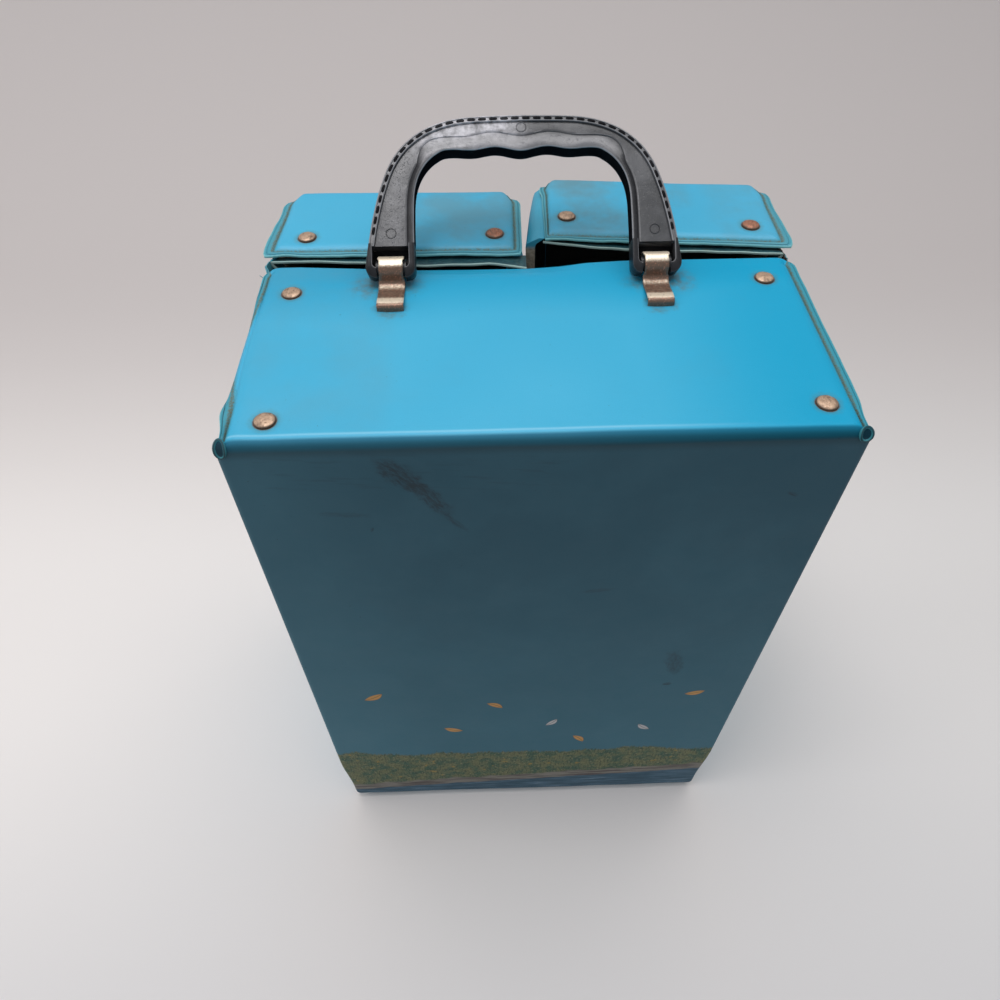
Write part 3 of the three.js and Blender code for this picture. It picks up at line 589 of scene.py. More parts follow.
def padded_wrap(strip, s_lines, x_lines, flange_width, roundness, dimples, shift, edge_shift, plain_at):
    """A wrap's shell: padded board between two skins, with a welded flange of two layers all round.

    s_lines and x_lines are the inner grid's lines. flange_width(s, side) gives the side flanges' width,
    roundness the power of each corner, shift(s, x, out, depth) a change of depth, edge_shift(s, x, out) new
    places of x, and plain_at(s, way_s, way_x) is 1 where the edge is plain and has no flange.
    Returns the points, the faces and each point's distance mark from the flange's edge.
    """
    rows, count = len(s_lines), len(x_lines)
    pad = shape_mm("pad_round")
    held, (base_s, base_x, way_s, way_x) = wrap_loop(s_lines, x_lines, roundness)
    grid_s, grid_x = [a.ravel() for a in np.meshgrid(s_lines, x_lines, indexing="ij")]
    gap = np.minimum.reduce([grid_s - s_lines[0], s_lines[-1] - grid_s, grid_x - x_lines[0],
                             x_lines[-1] - grid_x])
    zero = np.zeros_like(grid_s)
    flat = [(grid_s, grid_x, zero, SIDE_FLANGE + pad + gap, zero, smooth(gap, 0, 12))]
    turn = way_x ** 2 / (way_x ** 2 + way_s ** 2)
    width = flange_width(base_s, np.sign(base_x)) * turn + RIM_FLANGE * (1 - turn)
    plain = plain_at(base_s, way_s, way_x)
    for out, depth, edge, share in wrap_rings(pad, width, plain):
        flat.append((base_s + way_s * out, base_x + way_x * out, depth, edge, share, 0 * way_s))
    flat.append((grid_s, grid_x, zero + BOARD, SIDE_FLANGE + pad + gap, zero, zero))
    s, x, depth, edge, out, inside = [np.concatenate([part[k] for part in flat]) for k in range(6)]

    rings = len(flat) - 2
    upper_side = np.arange(len(s)) < rows * count + (rings - len(UNDER_FLANGE)) * len(held)
    waves = shape_mm("pad_waves")
    depth -= inside * waves * (wander(s, x, 55, 2.3) * 0.7 + wander(s, x, 21, 7.1) * 0.3)
    for ds, dx in dimples:
        away = np.hypot(s - ds, x - dx)
        depth += np.where(upper_side, shape_mm("rivet_dimple") * np.exp(-((away / DIMPLE_REACH) ** 2)), 0)
    depth += shift(s, x, out, depth)
    points = strip.place(s, edge_shift(s, x, out), depth)

    faces = []
    n = len(held)

    def patch(start, order):
        faces.extend([start + i for i in face[::order]] for face in grid_faces(rows, count))

    def skirt(grid_start, ring_start):
        for i in range(n):
            k = (i + 1) % n
            a, b = grid_start + held[i], grid_start + held[k]
            c, d = ring_start + k, ring_start + i
            faces.append([a, c, d] if a == b else [a, b, c, d])

    first = rows * count
    last = first + (rings - 1) * n
    under = last + n
    patch(0, 1)
    skirt(0, first)
    for here in range(first, last, n):
        faces += ring_faces(here, here + n, n)
    skirt(under, last)
    patch(under, -1)
    return points, faces, edge


def base_corner(strip, s):
    """How far x is pulled in at the foot of the upright panel, where its corners are rounded."""
    up = panel_height(strip, s) - strip.base
    low = np.clip(BASE_CORNER - up, 0, BASE_CORNER)
    corner = (BASE_CORNER - np.sqrt(BASE_CORNER ** 2 - low ** 2)) * 0.6
    pull = corner + FOOT_TAPER * fade(up, 16, 62)
    _, e1, _, e3, _ = strip.ends
    return pull * smooth(s, e1 + 40, e1 + 60) * fade(s, e3 + 4, e3 + 20)


def panel_height(strip, s):
    """Height of the outer face at length s, for the upright panel and the folds beside it."""
    return strip.place(s, 0 * s, 0 * s)[..., 2]


# Nodes
class Value:
    """A node's output. A sign between it and a number or another output adds a Math node."""

    def __init__(self, nodes, socket):
        self.nodes = nodes
        self.socket = socket

    def __add__(self, other):
        return self.nodes.math("ADD", self, other)

    def __radd__(self, other):
        return self.nodes.math("ADD", other, self)

    def __sub__(self, other):
        return self.nodes.math("SUBTRACT", self, other)

    def __rsub__(self, other):
        return self.nodes.math("SUBTRACT", other, self)

    def __mul__(self, other):
        return self.nodes.math("MULTIPLY", self, other)

    def __truediv__(self, other):
        return self.nodes.math("DIVIDE", self, other)

    def __rtruediv__(self, other):
        return self.nodes.math("DIVIDE", other, self)


class Nodes:
    """Adds and joins the nodes of one material or node group."""

    def __init__(self, tree):
        self.tree = tree
        self.count = 0

    def add(self, kind, **settings):
        node = self.tree.nodes.new(kind)
        node.location = (self.count % 12 * 190 - 2300, -(self.count // 12) * 240)
        self.count += 1
        for key, value in settings.items():
            setattr(node, key, value)
        return node

    def feed(self, socket, value):
        value = getattr(value, "socket", value)
        if isinstance(value, bpy.types.NodeSocket):
            self.tree.links.new(value, socket)
        else:
            socket.default_value = value

    def fill(self, node, values, output=0):
        """Feeds a node's inputs in their order and returns one of its outputs."""
        for socket, value in zip(node.inputs, values):
            self.feed(socket, value)
        return Value(self, node.outputs[output])

    def math(self, operation, *values, clamp=False):
        return self.fill(self.add("ShaderNodeMath", operation=operation, use_clamp=clamp), values)

    def vector(self, operation, *values):
        node = self.add("ShaderNodeVectorMath", operation=operation)
        return self.fill(node, values, "Value" if operation == "LENGTH" else "Vector")

    def between(self, value, low, high, start=0.0, end=1.0):
        """Runs smoothly from start at low to end at high."""
        node = self.add("ShaderNodeMapRange", interpolation_type="SMOOTHSTEP")
        return self.fill(node, (value, low, high, start, end))

    def fall(self, value, low, high, start=1.0):
        """Runs smoothly from start at low to 0 at high."""
        return self.between(value, low, high, start, 0.0)

    def band(self, value, low, high, soft):
        """1 between low and high, with soft sides."""
        return self.between(value, low - soft, low + soft) * self.fall(value, high - soft, high + soft)

    def mix(self, factor, first, second):
        node = self.add("ShaderNodeMix", data_type="RGBA")
        for index, value in ((0, factor), (6, shade(first)), (7, shade(second))):
            self.feed(node.inputs[index], value)
        return Value(self, node.outputs[2])

    def noise(self, place, scale, detail, rough):
        node = self.add("ShaderNodeTexNoise")
        for label, value in (("Vector", place), ("Scale", scale), ("Detail", detail), ("Roughness", rough)):
            self.feed(node.inputs[label], value)
        return Value(self, node.outputs[0])

    def split(self, place):
        node = self.add("ShaderNodeSeparateXYZ")
        self.feed(node.inputs[0], place)
        return [Value(self, output) for output in node.outputs]

    def mark(self, label):
        return Value(self, self.add("ShaderNodeAttribute", attribute_name=label).outputs["Fac"])

    def use(self, group, **values):
        """A node group's outputs, with its inputs set by their names in lower case with underscores."""
        node = self.add("ShaderNodeGroup", node_tree=group)
        labels = {socket.name.lower().replace(" ", "_"): socket for socket in node.inputs}
        for key, value in values.items():
            self.feed(labels[key], shade(value))
        return {output.name: Value(self, output) for output in node.outputs}


def node_group(name, inputs, outputs):
    """Turns a function that adds nodes into one that gives their node group, built once.

    Inputs have a default, or a kind where they have none; outputs have a kind. In the function, given holds
    the inputs by name and put(name, value) sets an output.
    """
    def decorate(build):
        def give():
            found = bpy.data.node_groups.get(name)
            if found:
                return found
            tree = bpy.data.node_groups.new(name, "ShaderNodeTree")
            for label, default in inputs.items():
                kind = default
                if not isinstance(default, str):
                    kind = "Vector" if isinstance(default, tuple) else "Float"
                socket = tree.interface.new_socket(label, in_out="INPUT", socket_type="NodeSocket" + kind)
                if default != kind:
                    socket.default_value = default
            for label, kind in outputs.items():
                tree.interface.new_socket(label, in_out="OUTPUT", socket_type="NodeSocket" + kind)
            nodes = Nodes(tree)
            entry = nodes.add("NodeGroupInput")
            leave = nodes.add("NodeGroupOutput")
            given = {socket.name: Value(nodes, socket) for socket in entry.outputs}
            build(nodes, given, lambda label, value: nodes.feed(leave.inputs[label], value))
            return tree
        return give
    return decorate


@node_group(
    "Blotches",
    {"Place": "Vector", "Size": 10.0, "Low": 0.45, "High": 0.65, "Seed": 0.0},
    {"Mask": "Float"})
def blotches(nodes, given, put):
    """Patches of noise of a given size in millimetres."""
    moved = nodes.vector("ADD", given["Place"], nodes.vector("MULTIPLY", given["Seed"], (17.3, 5.1, 9.7)))
    scale = 1.0 / given["Size"]
    grain = nodes.noise(moved, scale, 4.0, 0.6)
    put("Mask", nodes.between(grain, given["Low"], given["High"]))


@node_group("Fine Grain", {"Place": "Vector", "Size": 0.5, "Swell": 2.0}, {"Height": "Float"})
def fine_grain(nodes, given, put):
    """Height of a fine moulded or calendered grain with slower swells under it."""
    fine = nodes.noise(given["Place"], 1.0 / given["Size"], 3.0, 0.6)
    slow = nodes.noise(given["Place"], 0.1 / given["Size"], 2.0, 0.5)
    swell = slow * given["Swell"]
    put("Height", fine + swell)


@node_group(
    "Spot",
    {"Place": "Vector", "Centre": "Vector", "Plane": (1, 1, 0), "Inner": 4.0, "Outer": 7.0, "Ragged": 2.0},
    {"Mask": "Float"})
def spot(nodes, given, put):
    """A ragged round spot about a centre: 1 inside and 0 outside."""
    away = nodes.vector("MULTIPLY", nodes.vector("SUBTRACT", given["Place"], given["Centre"]),
                        given["Plane"])
    ragged = nodes.noise(given["Place"], 0.45, 3.0, 0.6) - 0.5
    far = nodes.vector("LENGTH", away) + ragged * given["Ragged"]
    put("Mask", nodes.fall(far, given["Inner"], given["Outer"]))


@node_group(
    "Scratches",
    {"Place": "Vector", "Axis": (0, 1, 0), "Turn": 0.0, "Stretch": (0.6, 0.2, 0.06), "Low": 0.6,
     "High": 0.68},
    {"Mask": "Float"})
def scratches(nodes, given, put):
    """Thin marks that run along one direction."""
    turned = nodes.add("ShaderNodeVectorRotate", rotation_type="AXIS_ANGLE")
    nodes.feed(turned.inputs["Vector"], given["Place"])
    nodes.feed(turned.inputs["Axis"], given["Axis"])
    nodes.feed(turned.inputs["Angle"], given["Turn"])
    drawn = nodes.vector("MULTIPLY", turned.outputs[0], given["Stretch"])
    grain = nodes.noise(drawn, 1.0, 3.0, 0.65)
    put("Mask", nodes.between(grain, given["Low"], given["High"]))


def turned_place(nodes, given):
    """The place along and across a shape that lies turned on the upright panel."""
    x, _, z = nodes.split(nodes.vector("SUBTRACT", given["Place"], given["Centre"]))
    cosine, sine = nodes.math("COSINE", given["Turn"]), nodes.math("SINE", given["Turn"])
    return x * cosine + z * sine, z * cosine - x * sine


@node_group(
    "Smear",
    {"Place": "Vector", "Centre": "Vector", "Turn": 0.0, "Half Length": 10.0, "Half Width": 3.0},
    {"Mask": "Float"})
def smear(nodes, given, put):
    """A soft dark smear on the upright panel, mottled along its length."""
    u, v = turned_place(nodes, given)
    along = u / given["Half Length"]
    across = v / given["Half Width"]
    far = nodes.math("SQRT", along * along + across * across)
    far += nodes.noise(given["Place"], 0.22, 3.0, 0.6) - 0.5
    grain = nodes.add("ShaderNodeCombineXYZ")
    nodes.feed(grain.inputs[0], u * 0.32)
    nodes.feed(grain.inputs[1], v)
    mottle = nodes.between(nodes.noise(grain.outputs[0], 0.7, 3.0, 0.65), 0.36, 0.62, 0.35, 1.0)
    put("Mask", nodes.fall(far, 0.45, 1.05) * mottle)


@node_group(
    "Printed Leaf",
    {"Place": "Vector", "Centre": "Vector", "Turn": 0.0, "Half Length": 5.0, "Half Width": 1.8, "Bend": 0.8},
    {"Mask": "Float", "Rib": "Float"})
def printed_leaf(nodes, given, put):
    """A small pointed leaf on the upright panel, with a darker rib down its middle."""
    u, v = turned_place(nodes, given)
    t = u / given["Half Length"]
    bulge = nodes.math("SUBTRACT", 1.0, t * t, clamp=True)
    bend = t * t * given["Bend"]
    v -= bend
    side = bulge * given["Half Width"] - nodes.math("ABSOLUTE", v)
    put("Mask", nodes.between(side, 0.0, 0.35))
    rib = nodes.fall(nodes.math("ABSOLUTE", v), 0.15, 0.45)
    outline = nodes.fall(side, 0.2, 0.6)
    put("Rib", nodes.math("MAXIMUM", rib, outline) * nodes.between(side, 0.0, 0.3))


@node_group(
    "River Bank",
    {"Place": "Vector", "Reeds": "Color", "Tips": "Color", "Bank": "Color", "Water": "Color"},
    {"Colour": "Color", "Mask": "Float"})
def river_bank(nodes, given, put):
    """The printed foot of the upright panel: reeds on a bank over a strip of water."""
    x, _, z = nodes.split(given["Place"])
    flat = nodes.vector("MULTIPLY", given["Place"], (1.0, 0.0, 1.0))
    line = nodes.vector("MULTIPLY", given["Place"], (1.0, 0.0, 0.0))
    slow = nodes.noise(line, 0.022, 2.0, 0.5)
    tufts = nodes.noise(line, 0.3, 4.0, 0.7)
    blades = nodes.noise(nodes.vector("MULTIPLY", given["Place"], (0.9, 0.0, 0.25)), 1.0, 3.0, 0.7)
    top = slow * 26.0 + tufts * 9.0
    top = top + 55.0 + x * -0.02
    top += (blades - 0.5) * 9.0
    wavy = (nodes.noise(line, 0.05, 3.0, 0.6) - 0.5) * 12.0
    foot = x * 0.08 + 34.0 + wavy
    water_top = foot - 9.0 - wavy * 0.6
    patches = nodes.noise(flat, 0.11, 3.0, 0.6)
    specks = nodes.noise(flat, 0.55, 3.0, 0.7)
    blooms = nodes.noise(flat, 0.17, 2.0, 0.5)
    green = nodes.mix(nodes.between(patches, 0.38, 0.6), given["Reeds"], "reeds_dry")
    for grain, low, high, share, colour in (
            (patches, 0.42, 0.34, 0.6, "reeds_teal"), (blades, 0.46, 0.64, 0.8, "reeds_dark"),
            (specks, 0.52, 0.7, 0.8, given["Tips"]), (blooms, 0.64, 0.7, 0.6, "blooms")):
        green = nodes.mix(nodes.between(grain, low, high, 0.0, share), green, colour)
    streaks = nodes.noise(nodes.vector("MULTIPLY", given["Place"], (0.035, 0.0, 0.42)), 1.0, 4.0, 0.65)
    bank = nodes.mix(nodes.between(streaks, 0.42, 0.62), given["Bank"], "bank_dark")
    water = nodes.mix(nodes.between(streaks, 0.4, 0.58), given["Water"], "water_dark")
    water = nodes.mix(nodes.between(streaks, 0.4, 0.32, 0.0, 0.6), water, "water_light")
    picture = nodes.mix(nodes.between(z - foot, -1.2, 1.2), bank, green)
    picture = nodes.mix(nodes.between(z - water_top, -0.8, 0.8), water, picture)
    put("Colour", picture)
    put("Mask", nodes.between(top - z, -1.5, 1.5))


@node_group(
    "Old Metal",
    {"Place": "Vector", "Bare": "Color", "Dull": "Color", "Rust Colour": "Color", "Tarnish": 0.0,
     "Rust": 0.0, "Roughness": 0.32},
    {"Colour": "Color", "Roughness": "Float", "Metallic": "Float", "Height": "Float"})
def old_metal(nodes, given, put):
    """Plated metal that has tarnished and rusted in patches."""
    streaks = nodes.noise(nodes.vector("MULTIPLY", given["Place"], (1.0, 0.5, 0.5)), 0.5, 4.0, 0.65)
    pits = nodes.noise(given["Place"], 1.4, 4.0, 0.7)
    tarnish = nodes.between(streaks + given["Tarnish"], 0.45, 0.75)
    rust = nodes.between(pits + given["Rust"], 0.55, 0.75)
    metal = nodes.mix(tarnish, given["Bare"], given["Dull"])
    put("Colour", nodes.mix(rust, metal, given["Rust Colour"]))
    rough = given["Roughness"] + tarnish * 0.16
    put("Roughness", nodes.math("ADD", rough, rust * 0.35, clamp=True))
    put("Metallic", 0.96 - rust * 0.75)
    put("Height", pits + rust * 0.4)


class Finish(Nodes):
    """A material in the making: its nodes, its shader, its place in millimetres and its colour so far."""

    def __init__(self, name, from_rest=False):
        self.material = bpy.data.materials.new(name)
        self.material.use_nodes = True
        tree = self.material.node_tree
        tree.nodes.clear()
        super().__init__(tree)
        self.shader = self.add("ShaderNodeBsdfPrincipled")
        end = self.add("ShaderNodeOutputMaterial")
        tree.links.new(self.shader.outputs[0], end.inputs[0])
        if from_rest:
            self.place = self.add("ShaderNodeAttribute", attribute_name="rest_mm").outputs["Vector"]
        else:
            metres = self.add("ShaderNodeTexCoord").outputs["Object"]
            self.place = self.vector("MULTIPLY", metres, (1000, 1000, 1000))
        self.colour = None

    def coat(self, mask, colour):
        """Lays a colour over the one so far."""
        self.colour = self.mix(mask, self.colour, colour)

    def grain(self, scale, detail, rough):
        return self.noise(self.place, scale, detail, rough)

    def patches(self, size, low, high, seed):
        """A mask of blotches of that size in millimetres."""
        return self.use(blotches(), place=self.place, size=size, low=low, high=high, seed=seed)["Mask"]

    def rubs(self, axis, turn, stretch, low, high):
        """A mask of thin marks that run one way."""
        return self.use(scratches(), place=self.place, axis=axis, turn=turn, stretch=stretch,
                        low=low, high=high)["Mask"]

    def spot(self, x, y, inner, outer, ragged):
        """A mask of one ragged round spot, seen from above."""
        return self.use(spot(), place=self.place, centre=(x, y, 0),
                        inner=inner, outer=outer, ragged=ragged)["Mask"]

    def fine(self, size, swell):
        """Height of a fine grain of that size in millimetres."""
        return self.use(fine_grain(), place=self.place, size=size, swell=swell)["Height"]

    def region(self, low, high, soft=6.0):
        """1 inside a box of the place, with soft sides; a limit of None is open."""
        mask = None
        for axis, bottom, top in zip(self.split(self.place), low, high):
            for limit, run in ((bottom, self.between), (top, self.fall)):
                if limit is not None:
                    step = run(axis, limit - soft, limit + soft)
                    mask = step if mask is None else mask * step
        return mask

    def done(self, rough, height, depth, **others):
        """Feeds the shader, with a bump of that depth in millimetres, and returns the material."""
        node = self.add("ShaderNodeBump")
        node.inputs["Distance"].default_value = depth * MM
        self.feed(node.inputs["Height"], height)
        mains = {"Base Color": self.colour, "Roughness": rough, "Normal": node.outputs[0]}
        for label, value in mains.items():
            self.feed(self.shader.inputs[label], value)
        for label, value in others.items():
            self.feed(self.shader.inputs[OTHER_SOCKETS[label]], value)
        return self.material


# Heights between which the top's marks begin, and the radii of the dirt about a rivet
TOP_BAND = (CASE_HEIGHT - 9, CASE_HEIGHT - 6)
RIVET_RING, RIVET_HALO = 4.2, 7.5
# Size of the vinyl's grain in millimetres, and the share of its slow swells
VINYL_GRAIN = (0.55, 1.6)
# Heights between which the side sheets' vinyl has aged
AGED_HEIGHTS = (344.0, 353.0)
OTHER_SOCKETS = {"metallic": "Metallic", "gloss": "Specular IOR Level", "sheen": "Sheen Weight"}


def vinyl_ground(nodes, deep=None):
    """Lays vinyl's colour with its slow changes of tone; where deep is given, it is 1 for the darker vinyl,
    and the paler vinyl elsewhere is a painted sheen.
    """
    tone = nodes.between(nodes.grain(0.01, 1.0, 0.5), 0.35, 0.7, 0.0, 0.3)
    if deep is not None:
        tone = nodes.math("MAXIMUM", tone, deep)
    nodes.colour = nodes.mix(tone, "vinyl", "vinyl_deep")
    nodes.coat(nodes.patches(40.0, 0.5, 0.85, 1.0) * 0.12, "vinyl_grey")


# Printed leaves: x, z, turn in radians, half length and whether pale. Their places follow no picture.
LEAVES = [
    (-88, 154, 0.6, 6.6, False), (-20, 140, 2.5, 5.8, False), (-46, 108, -0.4, 6.2, False),
    (14, 114, 0.9, 5.4, True), (32, 90, 2.2, 6.0, False), (94, 148, 0.3, 6.0, False),
    (70, 104, -0.8, 5.6, True),
]
# Dark smears on the printed panel: x, z, turn in radians, half length, half width and strength
SMEARS = [
    (-55, 338, -0.8, 15.0, 6.5, 0.8), (-45, 326, -0.95, 15.0, 5.5, 0.75), (-36, 310, -0.9, 9.0, 1.8, 0.5),
    (76, 184, -1.4, 16.0, 5.5, 0.5), (76, 160, 0.2, 3.4, 1.8, 0.8), (-80, 316, -0.1, 12.0, 2.0, 0.3),
    (28, 256, 0.15, 10.0, 1.8, 0.35), (100, 322, -0.5, 3.0, 1.2, 0.6), (-70, 306, 1.3, 2.0, 0.9, 0.6),
]


def printed_side(nodes, x, y, z):
    """Lays the fold, painted teal and deeper teal as its shade with a painted highlight along its top, and
    the printed panel, painted darker towards its top as shade; returns the masks of the panel and the fold.
    """
    front = nodes.fall(y, REAR_Y + 2.0, REAR_Y + 4.0) * nodes.fall(z, CASE_HEIGHT - 5.0, CASE_HEIGHT - 2.2)
    fold = nodes.fall(y, REAR_Y + 2.2, REAR_Y + 3.9)
    # Painted shade: the fold darkens from teal to a deeper teal as it turns down to the upright face
    nodes.coat(fold, nodes.mix(nodes.fall(y, REAR_Y + 0.5, REAR_Y + 2.4), "fold_teal", "fold_shade"))
    # Painted highlight: a pale line along the fold's top edge, fading to the right
    ridge_highlight_mask = nodes.band(y, REAR_Y + 4.4, REAR_Y + 5.2, 0.7) * nodes.fall(x, 20, 90, 0.4)
    nodes.coat(ridge_highlight_mask, "ridge_light")
    top = nodes.colour
    # Painted shade: the panel's ground darkens towards its top
    lower = nodes.between(z, 30.0, CASE_HEIGHT - 6)
    nodes.colour = nodes.mix(lower, "panel", nodes.mix(0.62, "panel", "panel_dark"))
    nodes.coat(nodes.patches(70.0, 0.4, 0.7, 4.0) * 0.1, "vinyl_grey")
    nodes.coat(nodes.fall(x, -120.0, -40.0, 0.22), "vinyl_grey")
    # Painted shade: a darker band at the panel's top, just under the fold
    nodes.coat(nodes.between(z, CASE_HEIGHT - 9, CASE_HEIGHT - 4, 0.0, 0.45), "panel_top")
    bank = nodes.use(river_bank(), place=nodes.place, reeds="reeds", tips="reed_tips", bank="bank",
                     water="water")
    nodes.coat(bank["Mask"], bank["Colour"])
    for at_x, at_z, turn, half, pale in LEAVES:
        leaf = nodes.use(printed_leaf(), place=nodes.place, centre=(at_x, REAR_Y, at_z), turn=turn,
                         half_length=half, half_width=half * 0.42, bend=half * 0.16)
        nodes.coat(leaf["Mask"], "leaf_pale" if pale else "leaf")
        nodes.coat(leaf["Rib"] * 0.6, "leaf_rib")
    for at_x, at_z, turn, half_long, half_wide, strength in SMEARS:
        mask = nodes.use(smear(), place=nodes.place, centre=(at_x, REAR_Y, at_z), turn=turn,
                         half_length=half_long, half_width=half_wide)["Mask"]
        nodes.coat(mask * strength, "scuff")
    nodes.colour = nodes.mix(front, top, nodes.colour)
    return front, fold


def aged_flange(nodes, crack_depth):
    """Ages the welded flange by its distance from its cut edge, which is also paler as a painted highlight;
    returns the height of its grooves.
    """
    edge = nodes.mark("edge_mm")
    specky = nodes.grain(0.9, 4.0, 0.7)
    aged = edge + (specky - 0.5) * 2.4
    nodes.coat(nodes.fall(aged, 3.6, 5.8) * 0.75, "vinyl_aged")
    groove = nodes.band(aged, 2.9, 4.2, 0.45)
    nodes.coat(groove * nodes.between(nodes.grain(1.5, 3.0, 0.7), 0.35, 0.6, 0.3, 0.9), "weld_dirt")
    nodes.coat(nodes.band(edge, 1.25, 1.5, 0.12) * crack_depth, "scuff")
    # The cut edge, paler both as its own colour and as a painted highlight
    nodes.coat(nodes.fall(edge + specky * 0.8, 0.5, 1.1) * 0.85, "vinyl_edge")
    return groove * specky


def wrap_vinyl(name, rivets, worn, scuffs, clip_dirt=(), printed=False, crack_depth=0.8):
    """The wraps' vinyl: worn regions, scuffs, dirt about rivets, dirt and painted shadow about clips, aged
    flanges, weld grooves.
    """
    nodes = Finish(name)
    x, y, z = nodes.split(nodes.place)
    deep = None
    if printed:
        # Painted sheen: the top keeps the paler vinyl towards its near and left parts, and takes the darker
        # vinyl at the far end and the right
        deep = nodes.math("MAXIMUM", nodes.between(y, -34.0, 14.0), nodes.between(x, 10.0, 105.0, 0.0, 0.85))
    vinyl_ground(nodes, deep)
    rough = 0.34 + nodes.grain(0.05, 3.0, 0.6) * 0.14
    for low, high, size, strength in worn:
        patch = nodes.patches(size, 0.3, 0.72, strength) * nodes.region(low, high) * strength
        nodes.coat(patch, "vinyl_grey")
        rough += patch * 0.15
    others = {}
    if printed:
        front, fold = printed_side(nodes, x, y, z)
        rough += fold * 0.25
        others["gloss"] = nodes.math("MAXIMUM", front * 0.42, nodes.between(x, -20.0, 110.0, 0.42, 0.16))
    for low, high, turn, axis, strength in scuffs:
        lines = nodes.rubs(axis, turn, (0.5, 0.5, 0.05), 0.52, 0.66)
        nodes.coat(lines * nodes.region(low, high, 4.0) * strength, "scuff")
    nodes.coat(nodes.patches(2.0, 0.715, 0.755, 6.0) * 0.5, "scuff")
    upper = nodes.between(z, *TOP_BAND)
    for at in rivets:
        halo = nodes.spot(*at, RIVET_RING, RIVET_HALO, 3.0) * upper * 0.4
        nodes.coat(halo, nodes.mix(0.5, "vinyl_aged", "weld_dirt"))
        nodes.coat(nodes.spot(*at, RIVET_RING, RIVET_RING + 0.8, 0.5) * upper, "rivet_ring")
    # Dirt and painted shadow about the clips, where the handle's feet shade the top
    for at_x, at_y, inner, outer, strength in clip_dirt:
        cloud = nodes.spot(at_x, at_y, inner, outer, 8.0) * nodes.patches(3.2, 0.2, 0.75, 8.0)
        nodes.coat(cloud * (upper * strength), "weld_dirt")
    grooves = aged_flange(nodes, crack_depth)
    if printed:
        # Painted shade in the hollows of the ears
        nodes.coat(nodes.mark("hollow") * 0.93, "ear_hollow")
    return nodes.done(rough, nodes.fine(*VINYL_GRAIN) + grooves, 0.06, **others)


def side_vinyl():
    """The side sheets' vinyl, on the stored rest shape because the sheets bend."""
    nodes = Finish("side_vinyl", from_rest=True)
    vinyl_ground(nodes)
    _, y, z = nodes.split(nodes.place)
    specky = nodes.grain(0.8, 4.0, 0.7)
    worn = nodes.fall(nodes.math("ABSOLUTE", y - CREASE_Y) + specky * 9.0, 4.0, 13.0)
    nodes.coat(worn * 0.7, "vinyl_grey")
    cracks = nodes.rubs((1, 0, 0), 0.0, (0.4, 1.3, 0.12), 0.56, 0.64) * worn
    nodes.coat(cracks * 0.8, "weld_dirt")
    nodes.coat(nodes.rubs((1, 0, 0), 0.5, (0.2, 0.22, 0.03), 0.6, 0.74) * 0.5, "vinyl_grey")
    nodes.coat(nodes.between(z + specky * 6.0, *AGED_HEIGHTS) * 0.7, "vinyl_aged")
    rough = 0.4 + nodes.grain(0.06, 3.0, 0.6) * 0.16
    return nodes.done(rough, nodes.fine(*VINYL_GRAIN) + cracks, 0.07)


def torn_backing():
    """The sheets' dark cloth backing, which has kept its vinyl some way under the tear."""
    nodes = Finish("torn_backing", from_rest=True)
    wave = nodes.add("ShaderNodeTexWave", wave_type="BANDS", bands_direction="Z")
    nodes.feed(wave.inputs["Vector"], nodes.vector("MULTIPLY", nodes.place, (1.2, 1.2, 1.2)))
    wave.inputs["Distortion"].default_value = 1.6
    wave.inputs["Detail"].default_value = 3.0
    weave = Value(nodes, wave.outputs["Fac"])
    dust = nodes.patches(3.0, 0.45, 0.7, 2.0)
    nodes.colour = nodes.mix(dust, "torn", nodes.mix(0.5, "torn", "board"))
    nodes.coat(weave * 0.3, ALMOST_BLACK)
    _, _, z = nodes.split(nodes.place)
    whole = nodes.fall(z, CASE_HEIGHT - 70, CASE_HEIGHT - 30, 0.85)
    nodes.coat(whole, nodes.mix(dust * 0.25, "vinyl_aged", "board"))
    return nodes.done(0.9, weave, 0.15)


def inner_vinyl():
    """The doors' inner lip: dull blue-grey vinyl that turns light at its cut edge."""
    nodes = Finish("lip_vinyl")
    specky = nodes.grain(0.7, 4.0, 0.65)
    nodes.colour = nodes.mix(nodes.between(specky, 0.4, 0.7), "lip_dark", "lip_light")
    nodes.coat(nodes.patches(6.0, 0.5, 0.72, 3.0) * 0.35, "weld_dirt")
    nodes.coat(nodes.fall(nodes.mark("edge_mm") + specky * 0.35, 0.5, 1.1, 0.95), "lip_edge")
    return nodes.done(0.5, nodes.fine(0.6, 1.0), 0.06)


# How far the right door's rim stands back at its inner side, because the door is ajar
RIGHT_AJAR_SHIFT = math.sin(math.radians(RIGHT_AJAR)) * (CREASE_X - 8)


def door_side_vinyl(name, side, bare):
    """Vinyl on a door's inner side wall, rubbed through to the board near the rim where bare is above 0."""
    nodes = Finish(name)
    vinyl_ground(nodes)
    nodes.coat(0.35, "vinyl_aged")
    _, y, z = nodes.split(nodes.place)
    away = y - (DOOR_RIM_Y + (RIGHT_AJAR_SHIFT if side > 0 else 0.0)) + nodes.grain(0.35, 4.0, 0.65) * 5.0
    worn = nodes.fall(away, 5.0, 7.5) * bare * nodes.fall(z, CASE_HEIGHT - 10, CASE_HEIGHT - 7)
    fibres = nodes.patches(1.4, 0.35, 0.7, 5.0)
    nodes.coat(worn, nodes.mix(fibres, "fibre_pale", "board"))
    # The wall's inner face takes the dark door paper, painted shade inside the door
    nodes.coat(nodes.between(nodes.mark("hollow"), 0.95, 0.99), "door_paper")
    return nodes.done(0.45 + worn * 0.4, nodes.fine(*VINYL_GRAIN) + fibres * worn, 0.1)


